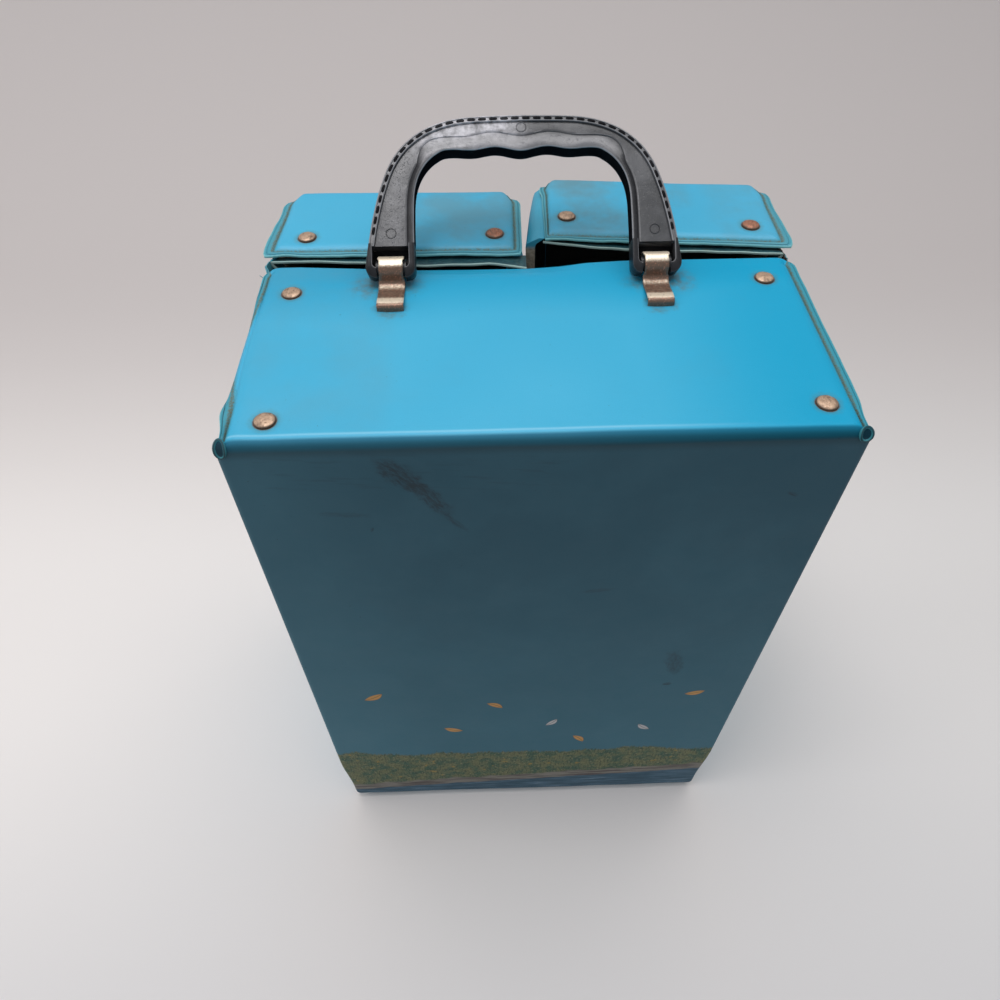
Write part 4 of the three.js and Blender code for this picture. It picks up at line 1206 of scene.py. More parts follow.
def fibre_card(name, base, grain_size, print_lines=()):
    """Paper or card, with fibres, faint stains and, where asked, thin printed lines at heights."""
    nodes = Finish(name)
    fibres = nodes.noise(nodes.vector("MULTIPLY", nodes.place, (1.0, 1.0, 3.0)), 1.0 / grain_size, 4.0, 0.7)
    nodes.colour = nodes.mix(nodes.between(fibres, 0.3, 0.75), base, nodes.mix(0.22, base, "board"))
    nodes.coat(nodes.patches(30.0, 0.5, 0.8, 2.5) * 0.3, nodes.mix(0.5, base, "weld_dirt"))
    for height in print_lines:
        _, _, z = nodes.split(nodes.place)
        nodes.coat(nodes.band(z, height - 0.6, height + 0.6, 0.15) * 0.8, "vinyl_deep")
    return nodes.done(0.72 + fibres * 0.16, fibres, 0.12)


def moulded_plastic():
    """The handle's semi-gloss plastic: edges lighter, partly rubbed and partly a painted highlight, a paler
    finger grip, hollows painted black as shade, and a painted highlight on the arch's upper left.
    """
    nodes = Finish("moulded_plastic")
    rim, low, polish = [nodes.mark(label) for label in ("rim", "hollow", "polish")]
    hair = nodes.rubs((0, 0.6, 0.8), 0.7, (0.12, 1.4, 1.4), 0.6, 0.7)
    nodes.colour = "plastic"
    nodes.coat(nodes.patches(14.0, 0.42, 0.68, 1.5) * 0.22, "plastic_worn")
    nodes.coat(hair * 0.2, "plastic_worn")
    # The grip band is painted paler
    nodes.coat(polish * 0.55, "plastic_worn")
    # The rims are lighter, partly rubbed and partly a painted highlight
    nodes.coat(rim * 0.6, "plastic_rim")
    # Painted shade: the hollows, slots and undersides go near black
    nodes.coat(low * 0.92, PAINTED_SHADE_BLACK)
    nodes.coat(nodes.patches(1.6, 0.7, 0.78, 9.0) * 0.3, "leaf_pale")
    x, _, z = nodes.split(nodes.place)
    # Painted highlight: a pale mottled patch on the upper left of the arch
    facing = nodes.between(x, -58.0, -38.0) * nodes.fall(x, -16.0, 4.0)
    facing = facing * nodes.between(z, HANDLE_PIVOT[2] + 26, HANDLE_PIVOT[2] + 40)
    painted_highlight = nodes.patches(4.2, 0.22, 0.72, 11.0) * facing * (1.0 - low) * (1.0 - polish * 0.6)
    nodes.coat(painted_highlight * 0.95, "plastic_shine")
    rough = 0.24 + nodes.grain(0.12, 4.0, 0.65) * 0.2 - polish * 0.06
    return nodes.done(rough, nodes.fine(0.7, 2.5) - hair, 0.07, gloss=(1.0 - low) * 0.75)


def metal(name, bare, tarnish, rust, roughness, dark_rim=False, dulled=False, metallic_share=1.0):
    """A metal; dark_rim and dulled use the mesh's marks for a rivet's ring and a clip's brown parts."""
    nodes = Finish(name)
    age = nodes.use(old_metal(), place=nodes.place, bare=bare, dull="steel_dark", rust_colour="rust",
                    tarnish=tarnish, rust=rust, roughness=roughness)
    nodes.colour, metallic = age["Colour"], age["Metallic"]
    if dark_rim:
        rim = nodes.mark("rim")
        nodes.coat(rim, "rivet_rim")
        metallic = metallic * (1.0 - rim * 0.7)
    if dulled:
        dull = nodes.mark("dull") + (nodes.grain(0.9, 4.0, 0.75) - 0.5) * 0.9
        nodes.coat(nodes.between(dull, 0.12, 0.8), "clip_brown")
        coppery = nodes.between(nodes.grain(1.6, 3.0, 0.7), 0.54, 0.66, 0.0, 0.6)
        nodes.coat(coppery * nodes.between(dull, 0.2, 0.5), "clip_copper")
    return nodes.done(age["Roughness"], age["Height"], 0.06, metallic=metallic * metallic_share)


def woven_elastic():
    """Flat woven elastic with ribs across it."""
    nodes = Finish("woven_elastic")
    x, y, z = nodes.split(nodes.place)
    weave = nodes.math("SINE", (x + y) * 5.2) * nodes.math("SINE", z * 7.5)
    nodes.colour = nodes.mix(nodes.between(weave, -1.0, 1.0), nodes.mix(0.3, "elastic", "board"), "elastic")
    stripe = nodes.band(nodes.math("ABSOLUTE", z - STRAP_Z), 3.2, 4.2, 0.15)
    nodes.coat(stripe * 0.6, "vinyl_deep")
    return nodes.done(0.85, weave, 0.16, sheen=0.3)


def socket_plastic():
    """The rail sockets' plain moulded plastic."""
    nodes = Finish("socket_plastic")
    speck = nodes.grain(0.6, 4.0, 0.65)
    nodes.colour = nodes.mix(nodes.between(speck, 0.4, 0.7), "plastic",
                             nodes.mix(0.3, "plastic", "plastic_worn"))
    return nodes.done(0.3 + speck * 0.25, nodes.fine(0.6, 1.5), 0.06)


STRAP_LOW, STRAP_HIGH = box_mm("left_door_strap")
STRAP_Z = float(STRAP_LOW[2] + STRAP_HIGH[2]) / 2
# Points this near each other are joined, in metres, and corners sharper than this many degrees are rounded
WELD_REACH = 0.00001
BEVEL_ANGLE = 35


def finish_node(node, material, bevel=0.0):
    """Gives a CAD node a better material, and its edges a small round where bevel is above 0."""
    obj = NODES[node]
    for held in obj.material_slots:
        held.link = "OBJECT"
        held.material = material
    if bevel:
        weld = obj.modifiers.new("Weld", "WELD")
        weld.merge_threshold = WELD_REACH
        rounding = obj.modifiers.new("Bevel", "BEVEL")
        rounding.width = bevel * MM
        rounding.segments = 2
        rounding.limit_method = "ANGLE"
        rounding.angle_limit = math.radians(BEVEL_ANGLE)
        rounding.harden_normals = False


def rivet_spots(prefix):
    """Centres of the top rivets whose names start with prefix, in x and y."""
    spots = []
    for node in sorted(NODES):
        if node.startswith(prefix + "_top_rivet"):
            low, high = box_mm(node)
            spots.append(tuple(((low + high) / 2)[:2]))
    return spots


def clip_x(side):
    """Middle of a clip across the case."""
    return float(HANDLE_PIVOT[0]) + side * CLIP_OFFSET


# Pieces
class DOLLCASE_OT_stage(bpy.types.Operator):
    """Adds the camera at the photograph's viewing angle, the pale floor with its backdrop, and the lamps"""

    bl_idname = "doll_case.stage"
    bl_label = "Camera, floor and light"

    def execute(self, context):
        scene = context.scene
        look = scene.doll_case_stage
        scene.view_settings.view_transform = "Standard"
        add_camera(scene)
        add_floor(look)
        add_light(scene, look)
        return {"FINISHED"}


SURROUND_TINT = (0.93, 0.96, 1.0, 1.0)
CAMERA_PLACE = (-23.17, -290.86, 557.69)
CAMERA_DOWN = 49.672
CAMERA_YAW = 1.720
CAMERA_ROLL = 0.1434
CAMERA_LENS = 27.937


def add_camera(scene):
    """The camera, from its place and its three angles."""
    down, yaw, roll = (math.radians(a) for a in (CAMERA_DOWN, CAMERA_YAW, CAMERA_ROLL))
    ahead = Vector((math.sin(yaw) * math.cos(down), math.cos(yaw) * math.cos(down), -math.sin(down)))
    right = ahead.cross(Vector((0, 0, 1))).normalized()
    below = ahead.cross(right)
    x_axis = math.cos(roll) * right + math.sin(roll) * below
    y_axis = math.sin(roll) * right - math.cos(roll) * below
    camera = bpy.data.objects.new("camera", bpy.data.cameras.new("camera"))
    camera.data.lens = CAMERA_LENS
    camera.data.clip_start = 0.01
    turn = Matrix((x_axis, y_axis, -ahead)).transposed().to_4x4()
    camera.matrix_world = Matrix.Translation(Vector(CAMERA_PLACE) * MM) @ turn
    scene.collection.objects.link(camera)
    scene.camera = camera


def add_floor(look):
    """A floor that curves up into a backdrop. It lights the object less than it shows to the camera."""
    half_width, near, bend, rise = 3.0, -3.0, 0.75, 2.2
    radius = 0.5
    line = [(near, 0.0), (0.0, 0.0), (bend - radius, 0.0)]
    for step in range(1, 13):
        turn = math.pi / 2 * step / 12
        line.append((bend - radius + radius * math.sin(turn), radius - radius * math.cos(turn)))
    line.append((bend, rise))
    points = [(x, y, z) for y, z in line for x in (-half_width, 0.0, half_width)]
    faces = grid_faces(len(line), 3)
    mesh = bpy.data.meshes.new("floor")
    mesh.from_pydata(points, [], faces)
    mesh.polygons.foreach_set("use_smooth", [True] * len(faces))
    floor = bpy.data.objects.new("floor", mesh)
    bpy.context.scene.collection.objects.link(floor)
    mesh.materials.append(floor_material(look))


def floor_material(look):
    """A pale floor, painted a little darker to the right, in front and up the backdrop as shade, with a
    weaker colour for the light that it sends to the object.
    """
    material = bpy.data.materials.new("pale_floor")
    material.use_nodes = True
    material.node_tree.nodes.clear()
    nodes = Nodes(material.node_tree)
    x, y, _ = nodes.split(nodes.add("ShaderNodeTexCoord").outputs["Object"])
    # Painted shade: the floor is darker to the right, in front of the case and up the backdrop
    right = nodes.between(x, -0.1, 0.5)
    pale = nodes.mix(right, (*look.floor, 1), "floor_right")
    pale = nodes.mix(nodes.fall(y, -0.42, 0.02, 0.75), pale, "floor_near")
    pale = nodes.mix(nodes.between(y, 0.1, 0.5, 0.0, 0.95), pale, "floor_far")
    darker = nodes.mix(look.floor_bounce, (0.0, 0.0, 0.0, 1), pale)
    shown = nodes.add("ShaderNodeBsdfDiffuse")
    nodes.feed(shown.inputs["Color"], pale)
    hidden = nodes.add("ShaderNodeBsdfDiffuse")
    nodes.feed(hidden.inputs["Color"], darker)
    path = nodes.add("ShaderNodeLightPath")
    seen = nodes.math("MAXIMUM", path.outputs["Is Camera Ray"], path.outputs["Is Glossy Ray"])
    seen = nodes.math("MAXIMUM", seen, path.outputs["Is Transmission Ray"])
    both = nodes.add("ShaderNodeMixShader")
    nodes.feed(both.inputs[0], seen)
    nodes.feed(both.inputs[1], hidden.outputs[0])
    nodes.feed(both.inputs[2], shown.outputs[0])
    end = nodes.add("ShaderNodeOutputMaterial")
    nodes.feed(end.inputs[0], both.outputs[0])
    return material


def add_light(scene, look):
    """A wide lamp over and behind the case, a small one over the handle, one at the left; the surround."""
    # Name, power, width and depth, place, tint
    lamps = [
        ("overhead_lamp", look.overhead, (1.8, 1.4), (0.04, 0.6, 1.6), (1.0, 0.985, 0.97)),
        ("window_lamp", look.side, (0.38, 0.42), (-0.22, -0.18, 1.5), (1.0, 0.98, 1.0)),
        ("left_lamp", look.side, (0.9, 0.9), (-1.3, -0.1, 1.0), (1.0, 0.97, 0.96)),
    ]
    target = Vector((0.0, 0.0, 0.25))
    for name, power, size, place, warm in lamps:
        data = bpy.data.lights.new(name, "AREA")
        data.shape = "RECTANGLE"
        data.size, data.size_y = size
        data.energy = power
        data.color = warm
        lamp = bpy.data.objects.new(name, data)
        lamp.location = place
        lamp.rotation_euler = (target - Vector(place)).to_track_quat("-Z", "Y").to_euler()
        scene.collection.objects.link(lamp)
    world = scene.world or bpy.data.worlds.new("surround")
    scene.world = world
    world.use_nodes = True
    world.node_tree.nodes.clear()
    nodes = Nodes(world.node_tree)
    background = nodes.add("ShaderNodeBackground")
    background.inputs["Color"].default_value = SURROUND_TINT
    background.inputs["Strength"].default_value = look.surround
    end = nodes.add("ShaderNodeOutputWorld")
    nodes.feed(end.inputs[0], background.outputs[0])


class DOLLCASE_OT_wraps(bpy.types.Operator):
    """Makes the padded vinyl wraps of the body and both doors, with their welded flanges"""

    bl_idname = "doll_case.wraps"
    bl_label = "Vinyl wraps"

    def execute(self, context):
        body_wrap()
        for word, side in SIDES.items():
            door_wrap(word, side)
        return {"FINISHED"}


def strip_lines(strip, pad, cuts=()):
    """Lines along a strip, closer over the folds and at the cuts in its flange."""
    e0, e1, e2, e3, end = strip.ends
    low = RIM_FLANGE + pad
    lines = stops(low, (e0 - 10, 2.7), (e0, 1.6), (e1, 0.85), (e1 + 12, 2.0), (e2 - 20, 5.0), (e2, 2.5),
                  (e3, 1.3), (e3 + 20, 3.0), (end - low, 6.0))
    for at in cuts:
        lines = lines[np.abs(lines - at) > 0.7]
        lines = np.sort(np.concatenate([lines, [at - 0.35, at + 0.35]]))
    return lines


# Worn patches of the vinyl: lowest and highest corner of their region, size of the blotches, strength
BODY_WORN = [((-118, REAR_Y + 4, 350), (-60, 30, None), 40.0, 0.25)]
DOOR_WORN = {
    -1: [((-66, 30, 350), (-2, 100, None), 30.0, 0.75), ((-6, 30, 350), (2, 100, None), 6.0, 0.5)],
    1: [((0, 45, 350), (50, 130, None), 30.0, 1.0), ((66, 70, 350), (84, 110, None), 12.0, 0.5),
        ((92, 32, 350), (122, 110, None), 20.0, 0.35)],
}
# Scuffs: lowest and highest corner of their region, turn, axis of the turn, strength
BODY_SCUFFS = [((-110, None, 330), (10, None, 350), 1.5, (0, 1, 0), 0.2)]
# How deep the body's rim is dented along x, and the ears' middles and half sizes along the strip and across
RIM_DENT = ((-105, -81, -52, -30, 0, 14, 26, 44), (0.3, 1.6, 3.6, 4.0, 4.0, 2.8, 0.9, 0.0))
EARS = {-1: (5.0, 119.2, 3.4, 1.9), 1: (5.0, 118.4, 2.5, 2.2)}


def body_wrap():
    """The rear body's wrap: a rolled rim, the printed panel, and side flanges that end in small ears."""
    strip = BODY_STRIP
    pad = shape_mm("pad_round")
    e0, _, _, e3, _ = strip.ends
    board = HALF_WIDTH - SIDE_FLANGE
    x_lines = stops(-board + pad, (-board + pad + 24, 1.8), (board - pad - 24, 2.8), (board - pad, 1.8))
    waves, curl = shape_mm("flange_waves"), shape_mm("corner_curl")

    def near_ear(s):
        return smooth(s, e0 - 17, e0 - 1) * fade(s, e0 + 2, e0 + 6)

    def flange_width(s, _):
        return SIDE_FLANGE - 1.4 * near_ear(s)

    def plain_at(s, way_s, way_x):
        rims = fade(np.abs(way_x) - np.abs(way_s), -0.5, 0.5)
        panel = smooth(s, e0 + 1, e0 + 5) * fade(s, e3 + 2, e3 + 16)
        left = 0.9 * (way_x < 0) * smooth(s, 6, 100) * fade(s, e0 - 64, e0 - 12)
        return np.maximum(np.maximum(rims, panel), left)

    def droop(s, x, out):
        """1 where the left flange hangs down."""
        return (x < 0) * out * smooth(s, 20, 60) * fade(s, 84, 100)

    def shift(s, x, out, depth):
        wave = waves * out * (wander(s, x, 34, 3.0) + 0.5 * wander(s, x, 11, 5.0))
        wave += 2.2 * droop(s, x, out) - curl * near_ear(s) * out * np.where(x < 0, 1.0, 0.7)
        dent = np.interp(x, *RIM_DENT) * np.exp(-((s / 7.5) ** 2))
        return wave + dent * (1 - 0.2 * np.clip(depth, 0, BOARD))

    def edge_shift(s, x, out):
        reach = np.clip((np.abs(x) - 80) / (HALF_WIDTH - 80), 0, 1)
        pull = base_corner(strip, s) * reach ** 2 + 0.7 * droop(s, x, out)
        pull += 0.9 * out * (x < 0) * fade(s, 40, 76)
        swell = 1.2 * out * np.exp(-(((s - e0 + 19) / 14) ** 2)) * (x < 0)
        bow = smooth(s, e0 + 15, e0 + 80) * fade(s, e0 + 170, e0 + 300)
        swell += out * bow * np.where(x < 0, 2.8, 1.4)
        return x - np.sign(x) * (pull + 1.2 * near_ear(s) * out - swell)

    rivets = rivet_spots("body")
    dimples = [(strip.along(y), x) for x, y in rivets]
    # Dark clouds about each clip: dirt and painted shadow of the handle's feet
    dirt = []
    pivot_y = float(HANDLE_PIVOT[1])
    for side in SIDES.values():
        at_x = clip_x(side)
        dimples += [(strip.along(pivot_y - 20), at_x), (strip.along(pivot_y + 3), at_x)]
        dirt += [(at_x + side * 9, pivot_y - 4, 1.0, 13.0, 0.75),
                 (at_x - side * 8, pivot_y - 5, 1.0, 9.0, 0.55), (at_x, pivot_y - 20, 4.0, 9.0, 0.6)]
    lines = strip_lines(strip, pad)
    points, faces, edge = padded_wrap(strip, lines, x_lines, flange_width, (2.0, 5.0, 5.0, 2.0), dimples,
                                      shift, edge_shift, plain_at)
    parts = Parts().add(points, faces, edge_mm=edge)
    for side in SIDES.values():
        corner_ear(parts, strip, side)
    material = wrap_vinyl("body_vinyl", rivets, BODY_WORN, BODY_SCUFFS, dirt, printed=True)
    body = parts.build("body_skin", [material])
    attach(body, "case_body")
    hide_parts("body_wrap")


def corner_ear(parts, strip, side):
    """A small cup of folded flange at a top corner: a raised ring about a hollow painted dark as its shade.
    """
    at_s, at_x, half_s, half_x = EARS[side]
    at_s += strip.ends[0]
    turns, around = round_turns(36), round_turns(10)
    reach_s = at_s + np.outer(np.cos(turns), half_s + 0.6 * np.cos(around))
    reach_x = at_x + np.outer(np.sin(turns), half_x + 0.6 * np.cos(around))
    depth = np.broadcast_to(-0.4 - 0.9 * np.sin(around), reach_s.shape)
    marks = np.broadcast_to(2.2 - 0.9 * np.sin(around), reach_s.shape)
    points, faces = loft(strip.place(reach_s, side * reach_x, depth), closed=True)
    parts.add(points, faces, edge_mm=marks.ravel())
    shares = np.array([1.0, 0.8, 0.55, 0.3, 0.05])
    levels = np.array([-1.0, -0.55, -0.3, -0.2, -0.15])
    rings = []
    for share, level in list(zip(shares, levels)) + [(0.05, 0.6), (1.0, 0.6)]:
        s = at_s + half_s * share * np.cos(turns)
        x = side * (at_x + half_x * share * np.sin(turns))
        rings.append(strip.place(s, x, np.full(len(turns), level)))
    points, faces = loft(np.array(rings), closed=True)
    hollow = np.repeat([0.35, 0.7, 1.0, 1.0, 1.0, 1.0, 0.3], len(turns))
    parts.add(points, faces, edge_mm=PLAIN_MARK, hollow=hollow)


def refine(route, times):
    """A smooth line through a route's points, with that many steps between each pair."""
    padded = np.concatenate([[2 * route[0] - route[1]], route, [2 * route[-1] - route[-2]]])
    line = []
    for i in range(1, len(padded) - 2):
        a, b, c, d = padded[i - 1:i + 3]
        for step in range(times):
            t = step / times
            line.append(0.5 * (2 * b + (c - a) * t + (2 * a - 5 * b + 4 * c - d) * t ** 2
                               + (3 * b - a - 3 * c + d) * t ** 3))
    line.append(route[-1])
    return np.array(line)


# How far each door's hinge-side flange flares out at the rim, and how far its inner one is drawn in there
RIM_FLARE = {-1: 3.0, 1: 4.2}
INNER_PULL = {-1: 0.5, 1: 4.5}


def door_wrap(word, side):
    """One door's wrap, whose side flanges stop short of the far fold."""
    strip = DOOR_STRIP
    pad = shape_mm("pad_round")
    e0, e1 = strip.ends[:2]
    cut_top = e0 + TOP_FOLD - TOP_FLANGE_CUT
    cut_far = e1 + TOP_FLANGE_CUT - TOP_FOLD
    inner, outer = DOOR_SPLIT / 2 + SIDE_FLANGE, HALF_WIDTH - SIDE_FLANGE
    x0, x1 = (-outer, -inner) if side < 0 else (inner, outer)
    x_lines = stops(x0 + pad, (x0 + pad + 16, 1.9), (x1 - pad - 16, 2.8), (x1 - pad, 1.9))
    middle, half = (x0 + x1) / 2, (x1 - x0) / 2 + SIDE_FLANGE
    waves = shape_mm("flange_waves")

    def flange_width(s, _):
        kept = 1 - (s > cut_top) * (s < cut_far) * 0.9
        return SIDE_FLANGE * kept

    def shift(s, x, out, _):
        wave = waves * out * (wander(s, x, 30, 9.0 + side) + 0.6 * wander(s, x, 9, 4.0 + side))
        near_rim = fade(s, 0, 12)
        sag = near_rim * (0.5 * waver(x, 38, side) + 0.2) * (0.3 + 0.7 * out)
        return wave + sag

    def edge_shift(s, x, _):
        far = smooth(s, e0 - 9, e1 - 1) * fade(s, e1, e1 + 26)
        pull = base_corner(strip, s) + far * 7.0
        away = (x - middle) * side / half
        reach = np.clip((np.abs(away) - 0.55) / 0.45, 0, 1) ** 3
        flare = RIM_FLARE[side] * fade(s, 0, 42) * (away > 0)
        drawn = INNER_PULL[side] * (1.25 - 0.5 * smooth(s, 0, 45)) * fade(s, e0 - 14, e0) * (away < 0)
        return x + np.sign(x - middle) * reach * (flare - drawn - pull)

    spots = rivet_spots(f"{word}_door")
    dimples = []
    for at_x, at_y in spots:
        closed = swing(np.array([at_x, at_y, 0.0]), side, -AJAR[side])
        dimples.append((strip.along(closed[1]), closed[0]))
    lines = strip_lines(strip, pad, (cut_top, cut_far))
    points, faces, edge = padded_wrap(strip, lines, x_lines, flange_width, (12.0, 5.0, 5.0, 12.0), dimples,
                                      shift, edge_shift, lambda s, *_: 0 * s)
    points = swing(points, side, AJAR[side])
    material = wrap_vinyl(f"{word}_door_vinyl", spots, DOOR_WORN[side], (), crack_depth=0.25)
    skin = Parts().add(points, faces, edge_mm=edge).build(f"{word}_door_skin", [material])
    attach(skin, f"{word}_door")
    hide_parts(f"{word}_door_wrap")


class DOLLCASE_OT_sides(bpy.types.Operator):
    """Makes the side sheets that run on as the hinges, torn at their tops"""

    bl_idname = "doll_case.sides"
    bl_label = "Side sheets and hinges"

    def execute(self, context):
        vinyl = side_vinyl()
        backing = torn_backing()
        for word, side in SIDES.items():
            side_sheet(word, side, vinyl, backing)
        return {"FINISHED"}


HINGE_TURN = 5.0
# How much of the tear's depth each side has, and how far its torn edge stands in and out
TEAR_SHARE = {-1: 0.4, 1: 1.0}
FRAY = {-1: 0.4, 1: 1.1}
SHEET_ROUND_TOP = 3.7
SHEET_ROUND_BASE = 6.7
# Threads at a torn hinge, as routes in millimetres on the right side
FRAYS = [
    [(120.6, 24.0, 345.0), (122.6, 24.6, 348.4), (124.6, 23.8, 351.6)],
    [(121.0, 26.0, 344.0), (123.6, 25.2, 345.6), (125.4, 23.2, 345.4), (126.0, 21.4, 344.2)],
    [(120.2, 21.0, 346.0), (122.4, 20.4, 347.6), (124.8, 21.0, 347.2)],
]


def side_sheet(word, side, vinyl, backing):
    """One side's vinyl from the printed panel to the door's far face, with its cloth backing."""
    rear, far = REAR_Y + COVER_DEPTH, FAR_Y - COVER_DEPTH
    y_lines = stops(rear, (rear + 8, 1.0), (CREASE_Y - 18, 6.0), (CREASE_Y + 18, 0.6), (far - 8, 6.0),
                    (far, 1.0))
    z_low, z_high = COVER_DEPTH, CASE_HEIGHT - COVER_DEPTH
    shares = stops(0, (0.04, 0.01), (0.9, 0.024), (1.0, 0.008))
    tear = shape_mm("tear_depth") * TEAR_SHARE[side]

    def rounded(radius):
        """How much of the sheet's height its corners of that radius take, along y."""
        rear_in = np.clip(1 - (y_lines - rear) / radius, 0, 1)
        far_in = np.clip(1 - (far - y_lines) / radius, 0, 1)
        return radius * (1 - np.sqrt(1 - np.maximum(rear_in, far_in) ** 2))

    def heights(seed, keep):
        """Bottom and top of the sheet along y."""
        torn = smooth(y_lines, CREASE_Y - 15, CREASE_Y - 3) * fade(y_lines, CREASE_Y + 4, CREASE_Y + 13)
        ragged = 0.55 + 0.45 * waver(y_lines, 4.5, seed) + 0.35 * waver(y_lines, 1.3, seed)
        top = z_high - rounded(SHEET_ROUND_TOP) - torn * (tear * keep * np.clip(ragged, 0.05, 1.4))
        lift = DOOR_BASE * smooth(y_lines, CREASE_Y - 1, CREASE_Y + 1)
        return z_low + rounded(SHEET_ROUND_BASE) + lift, top

    bulge = smooth(HINGE_BULGE - np.abs(y_lines - CREASE_Y), 0, HINGE_BULGE)
    face_x = COVER_X + (CREASE_X - COVER_X) * bulge
    turn = AJAR[side] * smooth(y_lines, CREASE_Y - HINGE_TURN, CREASE_Y + HINGE_TURN)
    parts = Parts()
    # Depth of the outer and inner skin, seed, share of the tear, finish
    layers = [(0.0, 0.62, 12.0 + side, 1.0, 0), (0.66, 1.02, 31.0 + side, 0.45, 1)]
    for outer_in, inner_in, seed, keep, finish in layers:
        low, high = heights(seed, keep)
        z = low[None, :] + (high - low)[None, :] * shares[:, None]
        y = np.broadcast_to(y_lines, z.shape)
        ripple = 0.35 * wander(y, z, 38, 6.0 + side) * (1 - bulge)[None, :]
        fray = smooth(z, z_high - 16, z_high) * bulge[None, :] * wander(y, z, 3.2, seed) * FRAY[side]
        skins = []
        for inset in (outer_in, inner_in):
            x = side * (face_x[None, :] - inset + ripple * 0.5 + fray)
            skins.append(swing(np.stack([x, y, z], axis=-1), side, np.broadcast_to(turn, z.shape)))
        parts.add(*grid_shell(*skins), finish=finish)
    sheet = parts.build(f"{word}_side_sheet", [vinyl, vinyl if side < 0 else backing])
    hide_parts(f"body_{word}_side_cover", f"{word}_door_side_cover")
    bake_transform(sheet)
    stray_threads(word, side, backing if side > 0 else vinyl)


def stray_threads(word, side, material):
    """The loose threads at a torn hinge."""
    threads = Parts()
    for line in FRAYS[:3 if side < 0 else 2]:
        path = refine(np.array(line, float) * (side, 1, 1), 6)
        threads.add(*tube(path, np.linspace(0.22, 0.1, len(path)), 6))
    fringe = threads.build(f"{word}_stray_threads", [material])
    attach(fringe, "case_body")


class DOLLCASE_OT_linings(bpy.types.Operator):
    """Makes the doors' linings with their lips, and finishes the body's lining and the boards"""

    bl_idname = "doll_case.linings"
    bl_label = "Linings and boards"

    def execute(self, context):
        paper = fibre_card("lining_paper", "paper", 0.8)
        shade_dark_paper = fibre_card("door_lining_paper", "door_paper", 0.8)
        board = fibre_card("grey_board", "board", 0.9)
        lip = inner_vinyl()
        finish_node("body_lining", paper)
        for word, side in SIDES.items():
            finish_node(f"body_{word}_side_board", board)
            finish_node(f"{word}_door_outer_board", board)
            door_lining(word, side, shade_dark_paper)
            door_lip(word, side, lip)
            bare = 1.0 if side > 0 else 0.15
            door_inner_side(word, side, door_side_vinyl(f"{word}_door_side_vinyl", side, bare))
        return {"FINISHED"}


# Each lip along x: how far it stands out of the rim, and its depth under the door's top
LIP_LINE = {
    -1: ((1, 7, 18, 50, 75, 102, 119), (10.6, 9.6, 7.6, 9.2, 6.5, 4.6, 5.0),
         (4.8, 4.4, 4.2, 4.0, 4.0, 3.9, 4.0)),
    1: ((7, 14, 30, 46, 74, 119), (4.0, 4.5, 5.5, 6.0, 6.0, 6.0), (2.6, 2.8, 3.7, 4.4, 4.2, 4.0)),
}
LIP_CORNER = 5.0
LIP_TIP = 6.5
LINING_X = 9.1


def door_lining(word, side, paper):
    """A door's paper lining, painted dark as the shade inside the door."""
    strip = DOOR_STRIP
    x_out = HALF_WIDTH - 7.1
    e0, e1, e2, e3, end = strip.ends
    lines = stops(RIM_FLANGE + 0.2, (e0, 4.0), (e1, 1.5), (e2, 8.0), (e3, 2.0),
                  (end - RIM_FLANGE - 0.2, 6.0))
    s, x = np.meshgrid(lines, np.linspace(LINING_X, x_out, 40) * side, indexing="ij")
    soft = 0.25 * wander(s, x, 40, 8.0 + side)
    skins = [swing(strip.place(s, x, LINING_DEPTH + more + soft), side, AJAR[side])
             for more in (0.0, LINING_THICK)]
    lining = Parts().add(*grid_shell(*skins)).build(f"{word}_door_paper", [paper])
    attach(lining, f"{word}_door")
    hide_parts(f"{word}_door_lining")


def lip_route(start_x, hinge_x):
    """The lip's run in x and z: along under the top, down the hinge side and back along the base."""
    top, bottom = CASE_HEIGHT, DOOR_BASE + LINING_DEPTH + 0.1
    tip_x = hinge_x + LIP_TIP
    route = [(x, top) for x in np.linspace(start_x, tip_x - LIP_CORNER, 42)]
    for turn in np.linspace(0, math.pi / 2, 9)[1:]:
        route.append((tip_x - LIP_CORNER * (1 - math.sin(turn)), top - LIP_CORNER * (1 - math.cos(turn))))
    for share in np.linspace(0, 1, 9)[1:-1]:
        route.append((tip_x - LIP_TIP * smooth(share, 0, 1), top - LIP_CORNER - share * 12))
    route += [(hinge_x, z) for z in np.linspace(top - LIP_CORNER - 12, bottom + LIP_CORNER + 6, 40)]
    for turn in np.linspace(0, math.pi / 2, 9):
        route.append((hinge_x - LIP_CORNER * (1 - math.cos(turn)),
                      bottom + LIP_CORNER * (1 - math.sin(turn))))
    route += [(x, bottom) for x in np.linspace(hinge_x - LIP_CORNER, LINING_X, 34)[1:]]
    return np.array(route)


